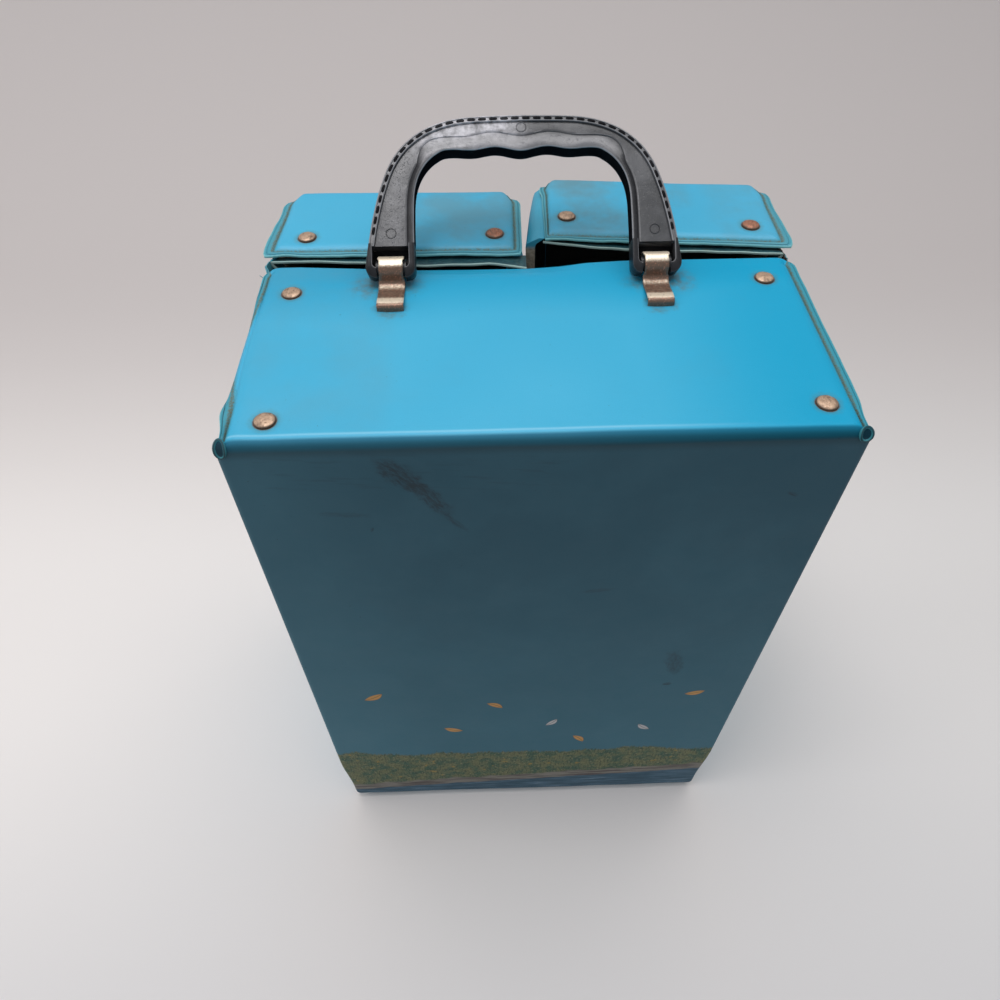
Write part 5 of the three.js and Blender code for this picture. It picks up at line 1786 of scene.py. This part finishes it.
def door_lip(word, side, material):
    """The vinyl lip that stands out of a door's rim and turns down its hinge side."""
    at_x, at_out, at_depth = LIP_LINE[side]
    route = lip_route(at_x[0], at_x[-1])
    ways = ways_along(route)
    inwards = np.stack([ways[:, 1], -ways[:, 0]], axis=1)
    run = run_along(route)
    on_top = smooth(route[:, 1], CASE_HEIGHT - 40, CASE_HEIGHT - 6)
    out_of_rim = 4.5 + (np.interp(route[:, 0], at_x, at_out) - 4.5) * on_top
    depths = np.interp(route[:, 0], at_x, at_depth) * on_top
    droops = shape_mm("lip_sag") * (0.3 * waver(run, 30, 2.0 + side) + 0.2 * waver(run, 10, 6.0))
    section = [(0.0, 0.5), (0.02, 0.08), (0.08, 0.0), (0.3, 0.0), (0.6, 0.0), (1.0, 0.0), (1.0, 1.0),
               (0.6, 1.0), (0.3, 1.0), (0.08, 1.0), (0.02, 0.92)]
    marks, sections = [], []
    entries = zip(route, inwards, out_of_rim, depths, droops, on_top)
    for (x, z), inward, out, depth, droop, top_share in entries:
        row = []
        for back, thick in section:
            sunk = depth + (LINING_DEPTH - depth) * back * top_share + thick * LINING_THICK
            sunk += droop * (1 - back)
            y = DOOR_RIM_Y - out + (out + 0.3) * back
            row.append((side * (x + inward[0] * sunk), y, z + inward[1] * sunk))
            marks.append(out * back)
        sections.append(row)
    placed = swing(np.array(sections), side, AJAR[side])
    lip = Parts().add(*loft(placed), edge_mm=np.array(marks)).build(f"{word}_door_lip", [material])
    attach(lip, f"{word}_door")


# How far each door's inner side wall bulges towards the other door
INNER_BULGE = {-1: 4.2, 1: 7.6}


def door_inner_side(word, side, material):
    """A door's inner side wall, which bulges out between its rim and its far face."""
    rim, far = DOOR_RIM_Y - 0.4, FAR_Y - COVER_DEPTH - 2.0
    low, high = DOOR_BASE + COVER_DEPTH + 2.0, CASE_HEIGHT - COVER_DEPTH
    y_lines = stops(rim, (rim + 12, 0.8), (far, 3.0))
    y, z = np.meshgrid(y_lines, stops(low, (high - 60, 9.0), (high, 1.6)), indexing="ij")
    along = np.clip((y - rim) / (far - rim), 0, 1)
    up = np.clip((z - low) / (high - low), 0, 1)
    far_share = 0.7 if side > 0 else 0.1
    swell = (far_share + (1 - far_share) * (1 - along) ** 0.6) * smooth(1 - up, -0.004, 0.012)
    swell *= (0.4 + 0.6 * smooth(up, 0.2, 0.8)) * smooth(up, 0, 0.02)
    bulge = INNER_BULGE[side] * swell + 0.3 * wander(y, z, 26, 5.0 + side)
    thick = 2.4 + bulge * (0.3 + 0.7 * smooth(y, rim + 16, rim + 34))
    skins = []
    for inset in (0.0, thick):
        skins.append(swing(np.stack([side * (6.3 + inset - bulge), y, z], axis=-1), side, AJAR[side]))
    inside = np.repeat([0.0, 1.0], y.size)
    wall = Parts().add(*grid_shell(*skins), hollow=inside).build(f"{word}_door_inner_side", [material])
    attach(wall, f"{word}_door")
    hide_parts(f"{word}_door_inner_board")


class DOLLCASE_OT_rivets(bpy.types.Operator):
    """Makes the domed, hammered rivets, and finishes the flat ones under the base"""

    bl_idname = "doll_case.rivets"
    bl_label = "Rivets"

    def execute(self, context):
        copper = metal("rivet_copper", "copper", 0.0, 0.0, 0.4, dark_rim=True, metallic_share=0.6)
        brown = metal("rivet_brown", "brown_plating", 0.04, 0.06, 0.45, dark_rim=True, metallic_share=0.5)
        base = metal("base_rivet_steel", "steel", 0.12, 0.06, 0.4)
        for node in sorted(NODES):
            if "_top_rivet_" in node:
                body = "case_body" if node.startswith("body") else node.split("_top")[0]
                browner = node in ("left_door_top_rivet_inner", "right_door_top_rivet_outer")
                top_rivet(node, body, brown if browner else copper)
            elif "_base_rivet_" in node:
                finish_node(node, base)
        return {"FINISHED"}


def top_rivet(node, body, material):
    """One rivet: a dented dome on a dark ring, with its shank and its tail inside."""
    low, high = box_mm(node)
    at = np.array([(low[0] + high[0]) / 2, (low[1] + high[1]) / 2, CASE_HEIGHT])
    radius = float(high[0] - low[0]) / 2
    height = shape_mm("rivet_height")
    tail = float(low[2]) - CASE_HEIGHT
    profile = [(0, tail), (2.2, tail), (2.65, tail + 0.15), (2.7, tail + 0.75), (1.4, tail + 0.8),
               (1.4, -0.7)]
    profile += [(radius * 0.8, -0.7), (radius * 0.97, -0.5), (radius, -0.05)]
    for step in range(1, 14):
        turn = math.pi / 2 * step / 13
        profile.append((radius * max(math.cos(turn), 0.0) ** 0.82, -0.05 + height * math.sin(turn) ** 0.9))
    profile[-1] = (0, profile[-1][1])
    seed = float(at[0] * 0.37 + at[1] * 0.11)
    depth = shape_mm("hammering")

    def place(points):
        points = points.copy()
        for point in points:
            away = math.hypot(point[0], point[1])
            if point[2] > 0.1:
                cell = noise.cell_vector(Vector((point[0] * 0.8, point[1] * 0.8, seed)))[0]
                soft = noise.noise(Vector((point[0] * 0.75, point[1] * 0.75, seed)))
                point[2] += depth * (0.35 * cell + 1.5 * soft) * (1 - 0.4 * away / radius)
        return points + at

    points, faces = lathe(profile, 32, place)
    away = np.hypot(points[:, 0] - at[0], points[:, 1] - at[1])
    rim = smooth(away, radius * 0.87, radius * 0.98)
    name = node.replace("top_rivet", "rivet_head")
    piece = Parts().add(points, faces, rim=rim).build(name, [material], crease=60)
    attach(piece, body)
    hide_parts(node)


class DOLLCASE_OT_handle(bpy.types.Operator):
    """Makes the moulded handle with its stitched rim, finger waves and feet"""

    bl_idname = "doll_case.handle"
    bl_label = "Handle"

    def execute(self, context):
        material = moulded_plastic()
        parts = Parts()
        handle_arch(parts)
        handle_feet(parts)
        stitches(parts)
        pin_rings(parts)
        handle = parts.build("handle_grip", [material], crease=50)
        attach(handle, "handle")
        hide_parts("handle")
        return {"FINISHED"}


# The handle's outer and inner edge, as shares of their half width and rise
OUTER_CURVE = [
    (1, 0), (0.975, 0.18), (0.95, 0.32), (0.904, 0.505), (0.836, 0.685), (0.735, 0.823), (0.585, 0.927),
    (0.371, 0.986), (0, 1),
]
INNER_CURVE = [(1, 0), (1, 0.4), (0.983, 0.66), (0.91, 0.84), (0.78, 0.96), (0.6, 1), (0, 1)]
PLATE = WEB_HALF_THICK + 0.85
FOOT_ROUND = 6.2
# Middles of the rings that the moulding pins left, across and up the handle, and their radii
PIN_RINGS = [(-57.7, 14.2), (57.7, 14.2), (0.2, 60.2)]
PIN_RADIUS, PIN_EDGE = 2.1, 0.26


def half_arch(points, width, rise, steps=400):
    """A dense half curve through points, as the CAD model's spline runs."""
    points = np.array(points) * (width, rise)
    last = len(points) - 1
    line = []
    for t in np.linspace(0, 1, steps):
        at = last * t
        i = min(int(at), last - 1)
        w = at - i
        p1, p2 = points[i], points[i + 1]
        p0 = points[max(i - 1, 0)]
        p3 = points[min(i + 2, last)]
        v0, v1 = (p2 - p0) / 2, (p3 - p1) / 2
        cubic = 2 * p1 - 2 * p2 + v0 + v1
        square = -3 * p1 + 3 * p2 - 2 * v0 - v1
        line.append(cubic * w ** 3 + square * w ** 2 + v0 * w + p1)
    return np.array(line)


def handle_curves():
    """The handle's outer and inner edge, each as a half curve."""
    return (half_arch(OUTER_CURVE, HANDLE_HALF_WIDTH, HANDLE_RISE),
            half_arch(INNER_CURVE, HANDLE_HALF_WIDTH - LEG_WIDTH, HANDLE_RISE - GRIP_DEPTH))


def even(line, count):
    """The same line with evenly spaced points."""
    run = run_along(line)
    at = np.linspace(0, run[-1], count)
    return np.stack([np.interp(at, run, line[:, k]) for k in range(line.shape[1])], axis=1)


def whole_arch(half, start):
    """A half curve above a height, mirrored into an arch from right to left."""
    keep = half[half[:, 1] >= start]
    x_start = np.interp(start, half[:, 1], half[:, 0]) if start > 0 else half[0, 0]
    keep = np.concatenate([[(x_start, start)], keep])
    keep[-1, 0] = 0.0
    mirrored = keep[:-1][::-1] * (-1, 1)
    return np.concatenate([keep, mirrored])


def handle_place(local):
    """From the handle's own frame (across, up, towards its face) to its leaning place."""
    local = np.asarray(local, float)
    tip = math.radians(90 - HANDLE_LEAN)
    x = HANDLE_PIVOT[0] + local[..., 0]
    y = HANDLE_PIVOT[1] + local[..., 1] * math.cos(tip) - local[..., 2] * math.sin(tip)
    z = HANDLE_PIVOT[2] + local[..., 1] * math.sin(tip) + local[..., 2] * math.cos(tip)
    return np.stack([x, y, z], axis=-1)


def arch_edges(count, start=WINDOW_TOP):
    """Matching points along the handle's outer and inner edges."""
    outer, inner = (even(whole_arch(curve, start), count) for curve in handle_curves())
    wave = -np.cos(2 * np.pi * inner[:, 0] / FINGER_PITCH) * np.cos(np.pi * inner[:, 0] / FINGER_SPAN)
    on_grip = (np.abs(inner[:, 0]) < FINGER_SPAN / 2) * (inner[:, 1] > HANDLE_RISE * 0.6)
    waves = FINGER_WAVE * wave * on_grip
    return outer, inner, waves


def handle_arch(parts):
    """The arch: a stitched rim, a flat plate, a bead down the legs' inner sides and a waved finger grip."""
    outer, inner, waves = arch_edges(230)
    sections, marks = [], []
    top = HANDLE_HALF_THICK
    for (ox, oy), (ix, iy), wave in zip(outer, inner, waves):
        reach = math.hypot(ix - ox, iy - oy)
        cross = np.array([ix - ox, iy - oy]) / reach
        grip = float(smooth(iy, HANDLE_RISE - GRIP_DEPTH - 9, HANDLE_RISE - GRIP_DEPTH - 1))
        span = reach - wave
        band = 2.9 + 4.0 * grip
        scallop = 0.5 * grip * math.cos(2 * math.pi * (ix - 3) / FINGER_PITCH)
        # Distance from the outer edge, height, and the marks of rim, lighter as rubbing and painted
        # highlight, hollow, painted near black as shade, and the grip's paler band
        front = [
            (0.0, 0.0, 0, 0.6, 0), (0.0, top - 0.9, 0, 0.55, 0), (0.12, top - 0.35, 0.9, 0, 0),
            (0.4, top - 0.05, 1, 0, 0), (0.7, top, 0.8, 0, 0), (0.85, top - 0.35, 0.3, 0, 0),
            (2.15, top - 0.35, 0.3, 0, 0), (2.3, top, 1, 0, 0),
            (2.6, top - 0.1, 0.7, 0, 0), (2.85, PLATE - 0.1, 0, 0.35, 0), (3.3, PLATE, 0, 0, 0),
            (1.65 + (span - band - 1.0) * 0.5, PLATE + 0.08, 0, 0, 0),
            (span - band - 1.0, PLATE + 0.05, 0, 0, 0),
            (span - band - 0.3, PLATE, 0.2, 0, 0), (span - band, PLATE - 0.4, 0, 0.7 - 0.6 * grip, 0),
            (span - band + 0.4, PLATE - 0.3, 0, 0.6 - 0.5 * grip, 0.4 * grip),
            (span - band * 0.72, PLATE - 0.1 + 0.35 * (1 - grip) + scallop, 0, 0.55 - 0.55 * grip, grip),
            (span - band * 0.45, top - 0.45 + 0.2 * (1 - grip) + 0.7 * scallop, 0, 0.55 - 0.55 * grip, grip),
            (span - 0.7, top - 0.2, 0, 0.5 - 0.4 * grip, grip), (span - 0.25, top - 0.35, 1, 0, grip),
            (span, top - 0.6, 0.8, 0, 0), (span, top - 0.9, 0, 1, 0), (span, 0.0, 0, 1, 0),
        ]
        back = [(across, -height, *rest) for across, height, *rest in front[1:-1][::-1]]
        sections.append([(ox + cross[0] * across, oy + cross[1] * across, height)
                         for across, height, *_ in front + back])
        marks.extend(rest for _, _, *rest in front + back)
    points, faces = loft(handle_place(sections))
    rim, hollow, polish = np.array(marks).T
    parts.add(points, faces, rim=rim, hollow=hollow, polish=polish)


def rounded_slab(outline, depth_half, bevel, place, axis_map):
    """A slab with rounded edges, from an outline in two coordinates that axis_map puts in order."""
    outline = np.asarray(outline, float)
    middle = outline.mean(axis=0)
    ways = unit(np.roll(outline, -1, axis=0) - np.roll(outline, 1, axis=0))
    normal = np.stack([ways[:, 1], -ways[:, 0]], axis=1)
    if ((outline - middle) * normal).sum() < 0:
        normal = -normal
    levels = []
    for step in range(5):
        turn = math.pi / 2 * step / 4
        levels.append((bevel * (1 - math.sin(turn)), -depth_half + bevel * (1 - math.cos(turn))))
    levels += [(inset, -height) for inset, height in levels[::-1]]
    sections = []
    for inset, height in levels:
        ring = outline - normal * inset
        sections.append([axis_map(a, b, height) for a, b in ring])
    points, faces = loft(np.array(sections))
    return place(points), faces


# A foot's bar is a little longer than its clip; the corner's drop and the bevel of the struts' edges
BAR_HALF = CLIP_WIDTH / 2 + 0.4
FOOT_CORNER = 4.4
FOOT_BEVEL = 0.45
# Marks round a strut's section: rim, lighter as rubbing and painted highlight, and hollow, painted dark as
# shade
STRUT_RIM = [0.0, 0.1, 0.35, 0.0, 0.1, 0.9, 0.3, 0, 0, 0, 0, 0, 0, 0]
STRUT_HOLLOW = [0.8, 0.75, 0.6, 0.75, 0.75, 0, 0.4, 0.7, 0.8, 0.8, 0.8, 0.8, 0.8, 0.6]


def strut_lines(curve):
    """A strut's outer and inner line, as distances from the foot's middle and heights."""
    def edge_at(v):
        return abs(float(np.interp(max(v, 0.0), curve[:, 1], curve[:, 0])) - CLIP_OFFSET)

    outline, inline = [], []
    for v in (WINDOW_TOP + 1.2, 6.5, 4.0, 2.0):
        outline.append((edge_at(v), v))
        inline.append((WINDOW_HALF, v))
    width = edge_at(0.0) - BAR_HALF
    for step in range(9):
        turn = math.pi / 2 * step / 8
        outline.append((BAR_HALF + width * math.cos(turn) ** 0.85,
                        -FOOT_CORNER * math.sin(turn) ** 0.85 - 0.4))
        inline.append((BAR_HALF + (WINDOW_HALF - BAR_HALF) * math.cos(turn), 1.2 - 1.8 * math.sin(turn)))
    return outline, inline


def foot_strut(parts, centre, way, curve):
    """One of the two struts that run from a leg down round its window's corner."""
    sections = []
    for (a, b), (c, d) in zip(*strut_lines(curve)):
        high, low = (HANDLE_HALF_THICK * math.sqrt(1 - (min(v, 0) / FOOT_ROUND) ** 2) for v in (b, d))
        ux, uv = np.array([c - a, d - b]) / math.hypot(c - a, d - b) * FOOT_BEVEL
        ring = [(a, b, high - FOOT_BEVEL), (a + ux * 0.3, b + uv * 0.3, high - FOOT_BEVEL * 0.3),
                (a + ux, b + uv, high), (c - ux, d - uv, low),
                (c - ux * 0.3, d - uv * 0.3, low - FOOT_BEVEL * 0.3), (c, d, low - FOOT_BEVEL)]
        ring = [(a, b, 0.0)] + ring + [(c, d, 0.0)] + [(x, v, -w) for x, v, w in ring[::-1]]
        sections.append([(centre + way * x, v, w) for x, v, w in ring])
    points, faces = loft(handle_place(sections))
    count = len(sections)
    parts.add(points, faces, rim=np.tile(STRUT_RIM, count), hollow=np.tile(STRUT_HOLLOW, count))


def handle_feet(parts):
    """Each leg's foot: two struts round the window's corners, the bar, half darkened as painted shade, and
    the window's rear wall, painted near black as the shade in the window.
    """
    for side in SIDES.values():
        centre = side * CLIP_OFFSET
        for curve, way in zip(handle_curves(), (side, -side)):
            foot_strut(parts, centre, way, curve)
        bar = [[(x, BAR_RADIUS * math.sin(t), BAR_RADIUS * math.cos(t)) for t in round_turns(20)]
               for x in np.linspace(centre - BAR_HALF - 0.4, centre + BAR_HALF + 0.4, 4)]
        points, faces = loft(handle_place(bar))
        parts.add(points, faces, hollow=0.5)
        walls = [(-WINDOW_HALF - 0.3, WINDOW_HALF + 0.3, 5.3, WINDOW_TOP + 0.6),
                 (-WINDOW_HALF - 0.3, -BAR_HALF, -0.4, 5.6), (BAR_HALF, WINDOW_HALF + 0.3, -0.4, 5.6)]
        for x0, x1, v0, v1 in walls:
            outline = [(centre + x0, v0), (centre + x1, v0), (centre + x1, v1), (centre + x0, v1)]
            points, faces = rounded_slab(outline, 0.5, 0.1, handle_place, lambda a, b, h: (a, b, h - 3.2))
            parts.add(points, faces, hollow=0.9)


def stitches(parts):
    """The moulded stitches in the rim's channel, on both faces, painted near black as the shade in their
    slots.
    """
    outer, inner, _ = arch_edges(600, WINDOW_TOP + 3)
    line = outer + unit(inner - outer) * 1.5
    run = run_along(line)
    pitch, size = shape_mm("stitch_pitch"), shape_mm("stitch_length")
    count = int(run[-1] // pitch)
    offset = (run[-1] - count * pitch) / 2
    for face in (1, -1):
        for i in range(count):
            start = offset + i * pitch + (pitch - size) / 2
            at = np.linspace(start, start + size, 9)
            places = np.stack([np.interp(at, run, line[:, k]) for k in range(2)], axis=1)
            sections = []
            for (x, y), way, t in zip(places, ways_along(places), np.linspace(-1, 1, 9)):
                swell = max(1 - abs(t) ** 6, 0.12)
                row = []
                for turn in round_turns(8):
                    sideways = 0.66 * swell ** 0.5 * math.cos(turn)
                    up = 0.3 * swell * math.sin(turn)
                    row.append((x - way[1] * sideways, y + way[0] * sideways,
                                face * (HANDLE_HALF_THICK - 0.4 + up)))
                sections.append(row)
            parts.add(*loft(handle_place(sections)), hollow=0.95)


def pin_rings(parts):
    """The rings that the moulding pins left on the front face, a little darkened as painted shade."""
    for at_x, at_y in PIN_RINGS:
        sections = []
        for turn in round_turns(28):
            row = []
            for around in round_turns(6):
                reach = PIN_RADIUS + PIN_EDGE * math.cos(around)
                row.append((at_x + reach * math.cos(turn), at_y + reach * math.sin(turn),
                            PLATE + 0.1 + 0.22 * math.sin(around)))
            sections.append(row)
        parts.add(*loft(handle_place(sections), closed=True), hollow=0.35)


class DOLLCASE_OT_clips(bpy.types.Operator):
    """Makes the two bent metal clips that hold the handle"""

    bl_idname = "doll_case.clips"
    bl_label = "Handle clips"

    def execute(self, context):
        material = metal("clip_steel", "steel", -0.1, -0.06, 0.34, dulled=True, metallic_share=0.55)
        for word, side in SIDES.items():
            clip(word, side, material)
        return {"FINISHED"}


def clip_route():
    """The strip's line in y and z, from its tail in the front slot over the bar to its rear tail."""
    pivot_y, pivot_z = float(HANDLE_PIVOT[1]), float(HANDLE_PIVOT[2])
    radius = BAR_RADIUS + 1.0 + CLIP_THICK / 2
    under = CASE_HEIGHT - BOARD - 0.3 - CLIP_THICK / 2
    flat = CASE_HEIGHT + 0.6 + CLIP_THICK / 2
    front, hump = pivot_y - 21.5, CASE_HEIGHT + 2.4
    route = [(front + 5, under), (front + 0.5, under), (front, under + 0.5), (front, hump - 1.4)]

    def bend(a, b, c, steps=7):
        for step in range(1, steps + 1):
            t = step / steps
            here = (1 - t) ** 2 * np.array(a) + 2 * t * (1 - t) * np.array(b) + t * t * np.array(c)
            route.append(tuple(here))

    foot = pivot_y - radius - 5.5
    bend(route[-1], (front, hump), (front + 2.2, hump))
    bend(route[-1], (front + 5, hump), (foot, flat), 10)
    bend(route[-1], (pivot_y - radius, flat), (pivot_y - radius, flat + 3.2), 10)
    route.append((pivot_y - radius, pivot_z - 0.8))
    for step in range(19):
        turn = math.pi - math.pi * step / 18
        route.append((pivot_y + radius * math.cos(turn), pivot_z + radius * math.sin(turn)))
    route += [(pivot_y + radius, under + 0.5), (pivot_y + radius - 0.5, under),
              (pivot_y + radius - 5, under)]
    return np.array(route)


# How brown a clip has gone, by its distance in front of the pivot
CLIP_DULL = ((2.4, 4.0, 5.5, 7.2, 9, 16, 17.4, 19.6, 20.4, 21.2),
             (0, 0.95, 0.85, 0.4, 0.75, 0.7, 0, 0, 0.7, 1.05))


def clip(word, side, material):
    """One clip, a little waisted where it rises to the bar, with its edges rolled."""
    route = clip_route()
    ways = ways_along(route)
    normal = np.stack([-ways[:, 1], ways[:, 0]], axis=1)
    half, thick = CLIP_WIDTH / 2, CLIP_THICK / 2
    section = closed_section(
        [(-1.0, 0.0), (-0.99, 0.55), (-0.95, 0.95), (-0.8, 1.0), (-0.4, 0.92), (0.0, 0.9), (0.4, 0.92),
         (0.8, 1.0), (0.95, 0.95), (0.99, 0.55), (1.0, 0.0)])
    sections, dulls = [], []
    for (y, z), (ny, nz) in zip(route, normal):
        dull = float(np.interp(HANDLE_PIVOT[1] - y, CLIP_DULL[0], CLIP_DULL[1]))
        dulls.extend([dull] * len(section))
        waist = 1 - 0.09 * float(smooth(z, CASE_HEIGHT + 2.5, CASE_HEIGHT + 5) * (y < HANDLE_PIVOT[1]))
        worn = 0.14 * noise.noise(Vector((y * 0.5, z * 0.5, side * 3.0)))
        row = []
        for out, up in section:
            row.append((clip_x(side) + out * half * waist + worn * abs(out), y + ny * thick * up,
                        z + nz * thick * up))
        sections.append(row)
    piece = Parts().add(*loft(sections), dull=dulls).build(f"{word}_clip_strip", [material], crease=55)
    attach(piece, "case_body")
    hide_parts(f"handle_clip_{word}")


class DOLLCASE_OT_inside(bpy.types.Operator):
    """Finishes the clothes rail, its sockets, the chest and the drawers with their knobs"""

    bl_idname = "doll_case.inside"
    bl_label = "Rail, chest and drawers"

    def execute(self, context):
        rail = metal("rail_steel", "steel", 0.0, -0.06, 0.24)
        brass = metal("knob_brass", "brass", 0.02, -0.08, 0.26)
        card = fibre_card("chest_card", "card", 0.9)
        finish_node("clothes_rail", rail, 0.5)
        socket = socket_plastic()
        for word in SIDES:
            finish_node(f"rail_socket_{word}", socket, 0.5)
        finish_node("drawer_chest", card, 0.35)
        for word in ("lower", "upper"):
            low, high = box_mm(f"{word}_drawer")
            lines = (low[2] + 5.0, high[2] - 5.0)
            finish_node(f"{word}_drawer", fibre_card(f"{word}_drawer_card", "paper", 0.9, lines), 0.35)
            finish_node(f"{word}_drawer_knob", brass, 0.4)
        return {"FINISHED"}


class DOLLCASE_OT_straps(bpy.types.Operator):
    """Makes the woven elastic doll straps and finishes their studs"""

    bl_idname = "doll_case.straps"
    bl_label = "Doll straps"

    def execute(self, context):
        elastic = woven_elastic()
        stud = metal("stud_steel", "steel", 0.0, -0.04, 0.28)
        for word, side in SIDES.items():
            doll_strap(word, side, elastic)
            for end in ("inner", "outer"):
                finish_node(f"{word}_door_strap_stud_{end}", stud, 0.3)
        return {"FINISHED"}


STRAP_THICK = 1.0
STRAP_HALF = 6.0
STUD_REACH = 38.0
STUD_RADIUS = 4.9


def doll_strap(word, side, material):
    """One strap, bowed off the lining between its studs."""
    seat = FAR_Y - LINING_DEPTH - LINING_THICK
    inner_x, outer_x = 6.0, HALF_WIDTH - 6.8
    middle = side * (inner_x + outer_x) / 2
    places = np.linspace(-STUD_REACH - STUD_RADIUS, STUD_REACH + STUD_RADIUS, 61)
    free = STUD_REACH - STUD_RADIUS
    bow = np.where(np.abs(places) < free, np.cos(np.pi * places / (2 * free)) ** 2, 0)
    line_y = seat - 0.3 - STRAP_THICK / 2 - shape_mm("strap_bow") * bow
    section = closed_section(
        [(-1, 0), (-0.98, 0.8), (-0.9, 1), (-0.5, 1), (0, 1), (0.5, 1), (0.9, 1), (0.98, 0.8), (1, 0)])
    line = np.stack([middle + places, line_y], axis=1)
    ways = ways_along(line)
    normal = np.stack([-ways[:, 1], ways[:, 0]], axis=1)
    sections = []
    for (x, y), (nx, ny), free_share in zip(line, normal, bow):
        half = STRAP_HALF * (1 - 0.06 * float(free_share))
        sections.append([(x + nx * STRAP_THICK / 2 * t, y + ny * STRAP_THICK / 2 * t, STRAP_Z + half * up)
                         for up, t in section])
    placed = swing(np.array(sections), side, AJAR[side])
    strap = Parts().add(*loft(placed)).build(f"{word}_woven_strap", [material])
    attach(strap, f"{word}_door")
    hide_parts(f"{word}_door_strap")


class DOLLCASE_OT_latch(bpy.types.Operator):
    """Finishes the latch's plates, pin, stud and hook"""

    bl_idname = "doll_case.latch"
    bl_label = "Latch"

    def execute(self, context):
        plated = metal("latch_steel", "steel", -0.06, -0.05, 0.26)
        for node in ("latch_plate", "latch_pin", "latch_keeper_plate", "latch_keeper_stud", "latch_hook"):
            finish_node(node, plated, 0.3)
        return {"FINISHED"}


PIECES = (
    DOLLCASE_OT_stage, DOLLCASE_OT_wraps, DOLLCASE_OT_sides, DOLLCASE_OT_linings, DOLLCASE_OT_rivets,
    DOLLCASE_OT_handle, DOLLCASE_OT_clips, DOLLCASE_OT_inside, DOLLCASE_OT_straps, DOLLCASE_OT_latch,
)


class DOLLCASE_PT_panel(bpy.types.Panel):
    """Lists the case's pieces and values"""

    bl_idname = "DOLLCASE_PT_panel"
    bl_label = "Doll case"
    bl_space_type = "VIEW_3D"
    bl_region_type = "UI"
    bl_category = "Doll case"

    def draw(self, context):
        layout = self.layout
        for piece in PIECES:
            layout.operator(piece.bl_idname)
        for group in ("doll_case_shape", "doll_case_colours", "doll_case_stage"):
            held = getattr(context.scene, group)
            box = layout.box()
            for name in held.__annotations__:
                box.prop(held, name)


CLASSES = (CaseShape, CaseColours, StageLook, *PIECES, DOLLCASE_PT_panel)


def register():
    for held in CLASSES:
        bpy.utils.register_class(held)
    bpy.types.Scene.doll_case_shape = PointerProperty(type=CaseShape)
    bpy.types.Scene.doll_case_colours = PointerProperty(type=CaseColours)
    bpy.types.Scene.doll_case_stage = PointerProperty(type=StageLook)


def unregister():
    del bpy.types.Scene.doll_case_stage
    del bpy.types.Scene.doll_case_colours
    del bpy.types.Scene.doll_case_shape
    for held in reversed(CLASSES):
        bpy.utils.unregister_class(held)


def main():
    register()
    for piece in PIECES:
        group, name = piece.bl_idname.split(".")
        getattr(getattr(bpy.ops, group), name)()


if __name__ == "__main__":
    main()
